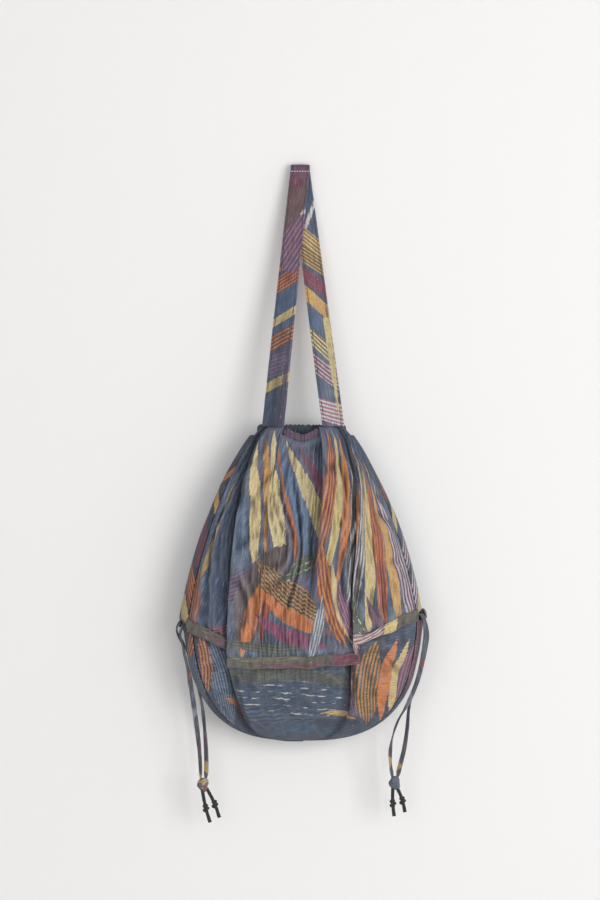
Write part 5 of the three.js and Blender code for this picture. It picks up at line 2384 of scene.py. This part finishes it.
@dataclass
class Strap:
    """The shoulder strap: one flat band, up the left leg, over the fold and down behind it."""

    form: BagForm = FORM
    width: float = 25.0
    foot_width: float = 30.0
    thickness: float = 2.6
    fold_radius: float = 4.0
    left_foot: tuple[float, float] = (-36.5, -67.5)
    right_foot: tuple[float, float] = (41.5, -67.5)
    foot_turn: float = 0.42
    crease: float = 4.2
    leg_steps: int = 130
    fold_steps: int = 22
    gap: float = 0.3
    stitch_inset: float = 2.2
    around: int = 44
    edge_squareness: float = 0.25

    def leg(self, foot: tuple[float, float], turn: float, facing_sign: int) -> list[Array]:
        """Return a leg's middle points, directions, widths and creases from its foot up.

        Args:
            foot: the foot's middle, across and in depth.
            turn: how far the foot is turned, in radians.
            facing_sign: -1 for the leg whose outer face looks to the front, 1 for the other.

        Returns:
            The middle points, the two directions, the widths and the creases.
        """
        share = np.linspace(0, 1, self.leg_steps)
        outside = self.fold_radius + self.thickness
        shift = 0.0 if facing_sign < 0 else self.thickness
        top = np.array([0.0, facing_sign * outside, -self.fold_radius])
        bottom = np.array([foot[0], foot[1] + shift, self.form.mouth_z + self.gap])
        middle = between(bottom[None, :], top[None, :], share[:, None])
        angle = turn * (1 - share) ** 1.5
        across = np.stack([np.cos(angle), np.sin(angle), 0 * angle], axis=-1)
        facing = np.stack([-across[:, 1], across[:, 0], 0 * angle], axis=-1) * facing_sign
        width = between(self.foot_width, self.width, share)
        return [middle, across, facing, width, self.crease * (1 - share) ** 1.2]

    def fold(self) -> list[Array]:
        """Return the middle points, directions, widths and creases of the half turn over the peg."""
        angle = np.linspace(0, np.pi, self.fold_steps + 2)[1:-1]
        facing = np.stack([0 * angle, -np.cos(angle), np.sin(angle)], axis=-1)
        middle = np.array([0.0, 0.0, -self.fold_radius]) + facing * (self.fold_radius + self.thickness)
        across = np.tile([1.0, 0.0, 0.0], (len(angle), 1))
        return [middle, across, facing, np.full_like(angle, self.width), 0 * angle]

    def line(self) -> list[Array]:
        """Return the whole band's middle points, directions, widths and creases."""
        left = self.leg(self.left_foot, -self.foot_turn, -1)
        right = [part[::-1] for part in self.leg(self.right_foot, self.foot_turn, 1)]
        return [np.concatenate(parts) for parts in zip(left, self.fold(), right)]

    def surface(self, side: Array, lift: Array) -> Array:
        """Return points on the band.

        Args:
            side: the place across, -1 to 1.
            lift: the height above the band's outer face, in millimetres.

        Returns:
            The points, one row for each step of the band.
        """
        middle, across, facing, width, crease = self.line()
        half = width[:, None] / 2
        turned = np.interp(side, [-1, 1 / 3, 1], [0.0, 1.0, -1.0])
        out = crease[:, None] * turned + lift
        x = side * half * (1 - 0.004 * crease[:, None])
        return middle[:, None, :] + across[:, None, :] * x[..., None] + facing[:, None, :] * out[..., None]

    def sheet(self) -> Sheet:
        """Return the band as a closed sheet with sewn, slightly puckered edges."""
        angle = np.linspace(0, 2 * np.pi, self.around, endpoint=False)[None, :]
        side = signed_power(np.cos(angle), self.edge_squareness)
        top = np.sin(angle) >= 0
        inset = 1 - 2 * self.stitch_inset / self.width
        groove = -0.32 * np.exp(-(((np.abs(side) - inset) / 0.06) ** 2))
        half = self.thickness / 2 * np.sqrt(np.maximum(0, 1 - np.abs(side) ** 9)) + groove
        run = arc_lengths(self.line()[0], 0)[:, None]
        ripple = Ripple(81)
        edge = np.abs(side) ** 3
        pucker = ripple.at(run / 5.5, side * 2 + 5) * 0.35 * edge + ripple.at(run / 21, side + 9) * 0.5
        lift = -self.thickness / 2 + np.where(top, half, -half) + pucker
        points = self.surface(side + 0 * run, lift)
        flat = np.stack(np.broadcast_arrays(side * self.width / 2, run), axis=-1)
        return Sheet("strap_band", points[:, ::-1], flat[:, ::-1], closed=True, capped=True)

    def stitch_rows(self) -> list[Array]:
        """Return the lines of edge stitching on the band's outer face."""
        inset = 1 - 2 * self.stitch_inset / self.width
        one = np.ones((len(self.line()[0]), 1))
        return [self.surface(one * side, one * 0.05)[:, 0] for side in (-inset, inset)]

    def fold_stitches(self) -> list[Array]:
        """Return the line of pale stitches across the band, just below the fold."""
        side = np.tile(np.linspace(-0.84, 0.84, 30), (len(self.line()[0]), 1))
        return [self.surface(side, np.full_like(side, 0.15))[self.leg_steps - 2]]


# The stage


@dataclass(frozen=True)
class Lamp:
    """A soft square lamp of white light: its place and side in metres, and its power in watts."""

    name: str
    place: Point
    size: float
    power: float

    def build(self, target: Point) -> None:
        """Make the lamp, which faces a point.

        Args:
            target: the point that it faces.
        """
        light = bpy.data.lights.new(self.name, "AREA")
        light.shape = "SQUARE"
        light.size = self.size
        light.energy = self.power
        made = linked(self.name, light)
        made.location = self.place
        facing = Vector(target) - Vector(self.place)
        made.rotation_euler = facing.to_track_quat("-Z", "Y").to_euler()


@dataclass
class Stage:
    """The pale wall behind the bag, the floor below it, the lamps and the camera."""

    wall_y: float = 0.009
    floor_z: float = -1.02
    backdrop_half: float = 4.0
    wall_top: float = 3.0
    wall_colour: str = "f2f1f0"
    floor_colour: str = "ecebea"
    frame_height: float = 1.17
    focal: float = 180.0
    middle: tuple[float, float] = (-0.0003, -0.3714)
    aim_y: float = -0.046
    lit_point: Point = (0.0, 0.0, -0.45)
    world_strength: float = 0.36
    lamps: tuple[Lamp, ...] = (
        Lamp("Key", (2.3, -4.1, -0.3), 2.2, 98.0),
        Lamp("Side", (2.6, -1.2, 0.6), 1.2, 5.0),
        Lamp("Fill", (-0.5, -4.2, -0.45), 2.8, 45.0),
        Lamp("Rear", (0.6, 2.4, 0.4), 2.4, 26.0),
    )

    def camera(self) -> None:
        """Make the camera, square to the wall as in the photograph."""
        lens = bpy.data.cameras.new("Camera")
        lens.lens = self.focal
        lens.sensor_width = 36.0
        lens.clip_end = 50.0
        made = linked("Camera", lens)
        distance = self.frame_height / 2 / (lens.sensor_width / 2 / lens.lens)
        made.location = (self.middle[0], self.aim_y - distance, self.middle[1])
        made.rotation_euler = (math.pi / 2, 0.0, 0.0)
        bpy.context.scene.camera = made

    def plane(self, name: str, corners: Sequence[Point], colour: str) -> bpy.types.Object:
        """Make one flat backdrop that can be seen from its front only.

        Args:
            name: its name.
            corners: its four corners, anticlockwise from the front.
            colour: its colour.

        Returns:
            The backdrop.
        """
        mesh = bpy.data.meshes.new(name)
        mesh.from_pydata(corners, [], [tuple(range(4))])
        shader = Shader(name)
        mottle = shader.noise(shader.object_place(), 1.2, 2.0, 0.5)
        tint = shader.mix(srgb(colour), srgb("e9e8e6"), mottle * 0.25)
        shader.feed(shader.surface.inputs["Base Color"], tint)
        shader.surface.inputs["Roughness"].default_value = 0.95
        shader.surface.inputs["Specular IOR Level"].default_value = 0.1
        behind = shader.node("ShaderNodeNewGeometry").outputs["Backfacing"]
        clear = shader.node("ShaderNodeBsdfTransparent").outputs[0]
        both = shader.node("ShaderNodeMixShader", {}, {0: behind, 1: shader.surface.outputs[0], 2: clear})
        shader.feed(shader.output.inputs[0], both.outputs[0])
        mesh.materials.append(shader.material)
        made = linked(name, mesh)
        made.visible_shadow = False
        return made

    def backdrops(self) -> None:
        """Make the wall and the floor."""
        y, z, far, top = self.wall_y, self.floor_z, self.backdrop_half, self.wall_top
        corners = [(-far, y, z), (far, y, z), (far, y, top), (-far, y, top)]
        self.plane("Wall", corners, self.wall_colour).visible_diffuse = False
        corners = [(-far, -far, z), (far, -far, z), (far, far, z), (-far, far, z)]
        self.plane("Floor", corners, self.floor_colour)

    def light(self) -> None:
        """Make the lamps, with the key lamp on the right, and the world."""
        for lamp in self.lamps:
            lamp.build(self.lit_point)
        world = bpy.data.worlds.new("World")
        world.use_nodes = True
        tree = world.node_tree
        tree.nodes.clear()
        output = tree.nodes.new("ShaderNodeOutputWorld")
        glow = tree.nodes.new("ShaderNodeBackground")
        glow.inputs["Color"].default_value = (1.0, 1.0, 1.0, 1.0)
        glow.inputs["Strength"].default_value = self.world_strength
        seen = tree.nodes.new("ShaderNodeBackground")
        seen.inputs["Color"].default_value = (*srgb(self.wall_colour), 1.0)
        rays = tree.nodes.new("ShaderNodeLightPath")
        both = tree.nodes.new("ShaderNodeMixShader")
        tree.links.new(rays.outputs["Is Camera Ray"], both.inputs[0])
        tree.links.new(glow.outputs[0], both.inputs[1])
        tree.links.new(seen.outputs[0], both.inputs[2])
        tree.links.new(both.outputs[0], output.inputs[0])
        bpy.context.scene.world = world

    def build(self) -> None:
        """Make the backdrops and the lamps, and set how the picture is shown."""
        self.backdrops()
        self.light()
        bpy.context.scene.view_settings.view_transform = "Standard"


def dress_hidden(elastic: bpy.types.Material, ribbon: bpy.types.Material) -> None:
    """Give the elastic and the drawstrings, which hardly show, their finishes.

    Args:
        elastic: the elastic's finish.
        ribbon: the drawstrings' finish.
    """
    for start, finish in (("mouth_elastic", elastic), ("drawstring", ribbon)):
        for name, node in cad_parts.items():
            if name.startswith(start):
                node.data.materials.clear()
                node.data.materials.append(finish)


def main() -> None:
    """Build the bag and its stage."""
    logging.basicConfig(level=logging.INFO, format="%(message)s")
    stage = Stage()
    stage.camera()
    tie_print, cord_finish = TIE_PRINT.build(), CORD_FINISH.build()
    for ties in side_ties():
        ties.build(tie_print, cord_finish)
    thread = THREAD_FINISH.build()
    front, back, hems, strap = FrontCloth(), BackCloth(), MouthHems(), Strap()
    band_print, hem_print = BAND_PRINT.build(), HEM_PRINT.build()
    dressed = (
        (front.upper_sheet(), UPPER_PRINT.build(), "upper_front_panel"),
        (back.upper_sheet(), BACK_PRINT.build(), "upper_back_panel"),
        (front.bowl_sheet(), BOWL_PRINT.build(), "lower_front_panel"),
        (back.bowl_sheet(), BOWL_BACK_PRINT.build(), "lower_back_panel"),
        (front.band_sheet(), band_print, "waist_channel_front"),
        (back.band_sheet(), band_print, "waist_channel_back"),
        (hems.front_sheet(), FRONT_HEM_PRINT.build(), "mouth_casing_front"),
        (hems.back_sheet(), hem_print, "mouth_casing_back"),
        (strap.sheet(), STRAP_PRINT.build(), "shoulder_strap"),
    )
    for sheet, material, node in dressed:
        made = sheet.build(material)
        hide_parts(node)
        sheet.cut()
        log.info("%s: %d points", made.name, len(made.data.vertices))
    dress_hidden(ELASTIC_FINISH.build(), tie_print)
    stitches = StitchTree("Stitches", thread)
    stitches.lay("strap_stitches", strap.stitch_rows(), Seam(pitch=3.2, length=2.3, thread=0.28))
    stitches.lay("band_stitches", front.band_stitches(), Seam(pitch=3.4, length=2.2, thread=0.26))
    pale = StitchTree("Pale stitches", PALE_THREAD_FINISH.build())
    pale.lay("fold_stitches", strap.fold_stitches(), Seam(pitch=3.4, length=3.0, thread=0.75))
    stage.build()


if __name__ == "__main__":
    main()
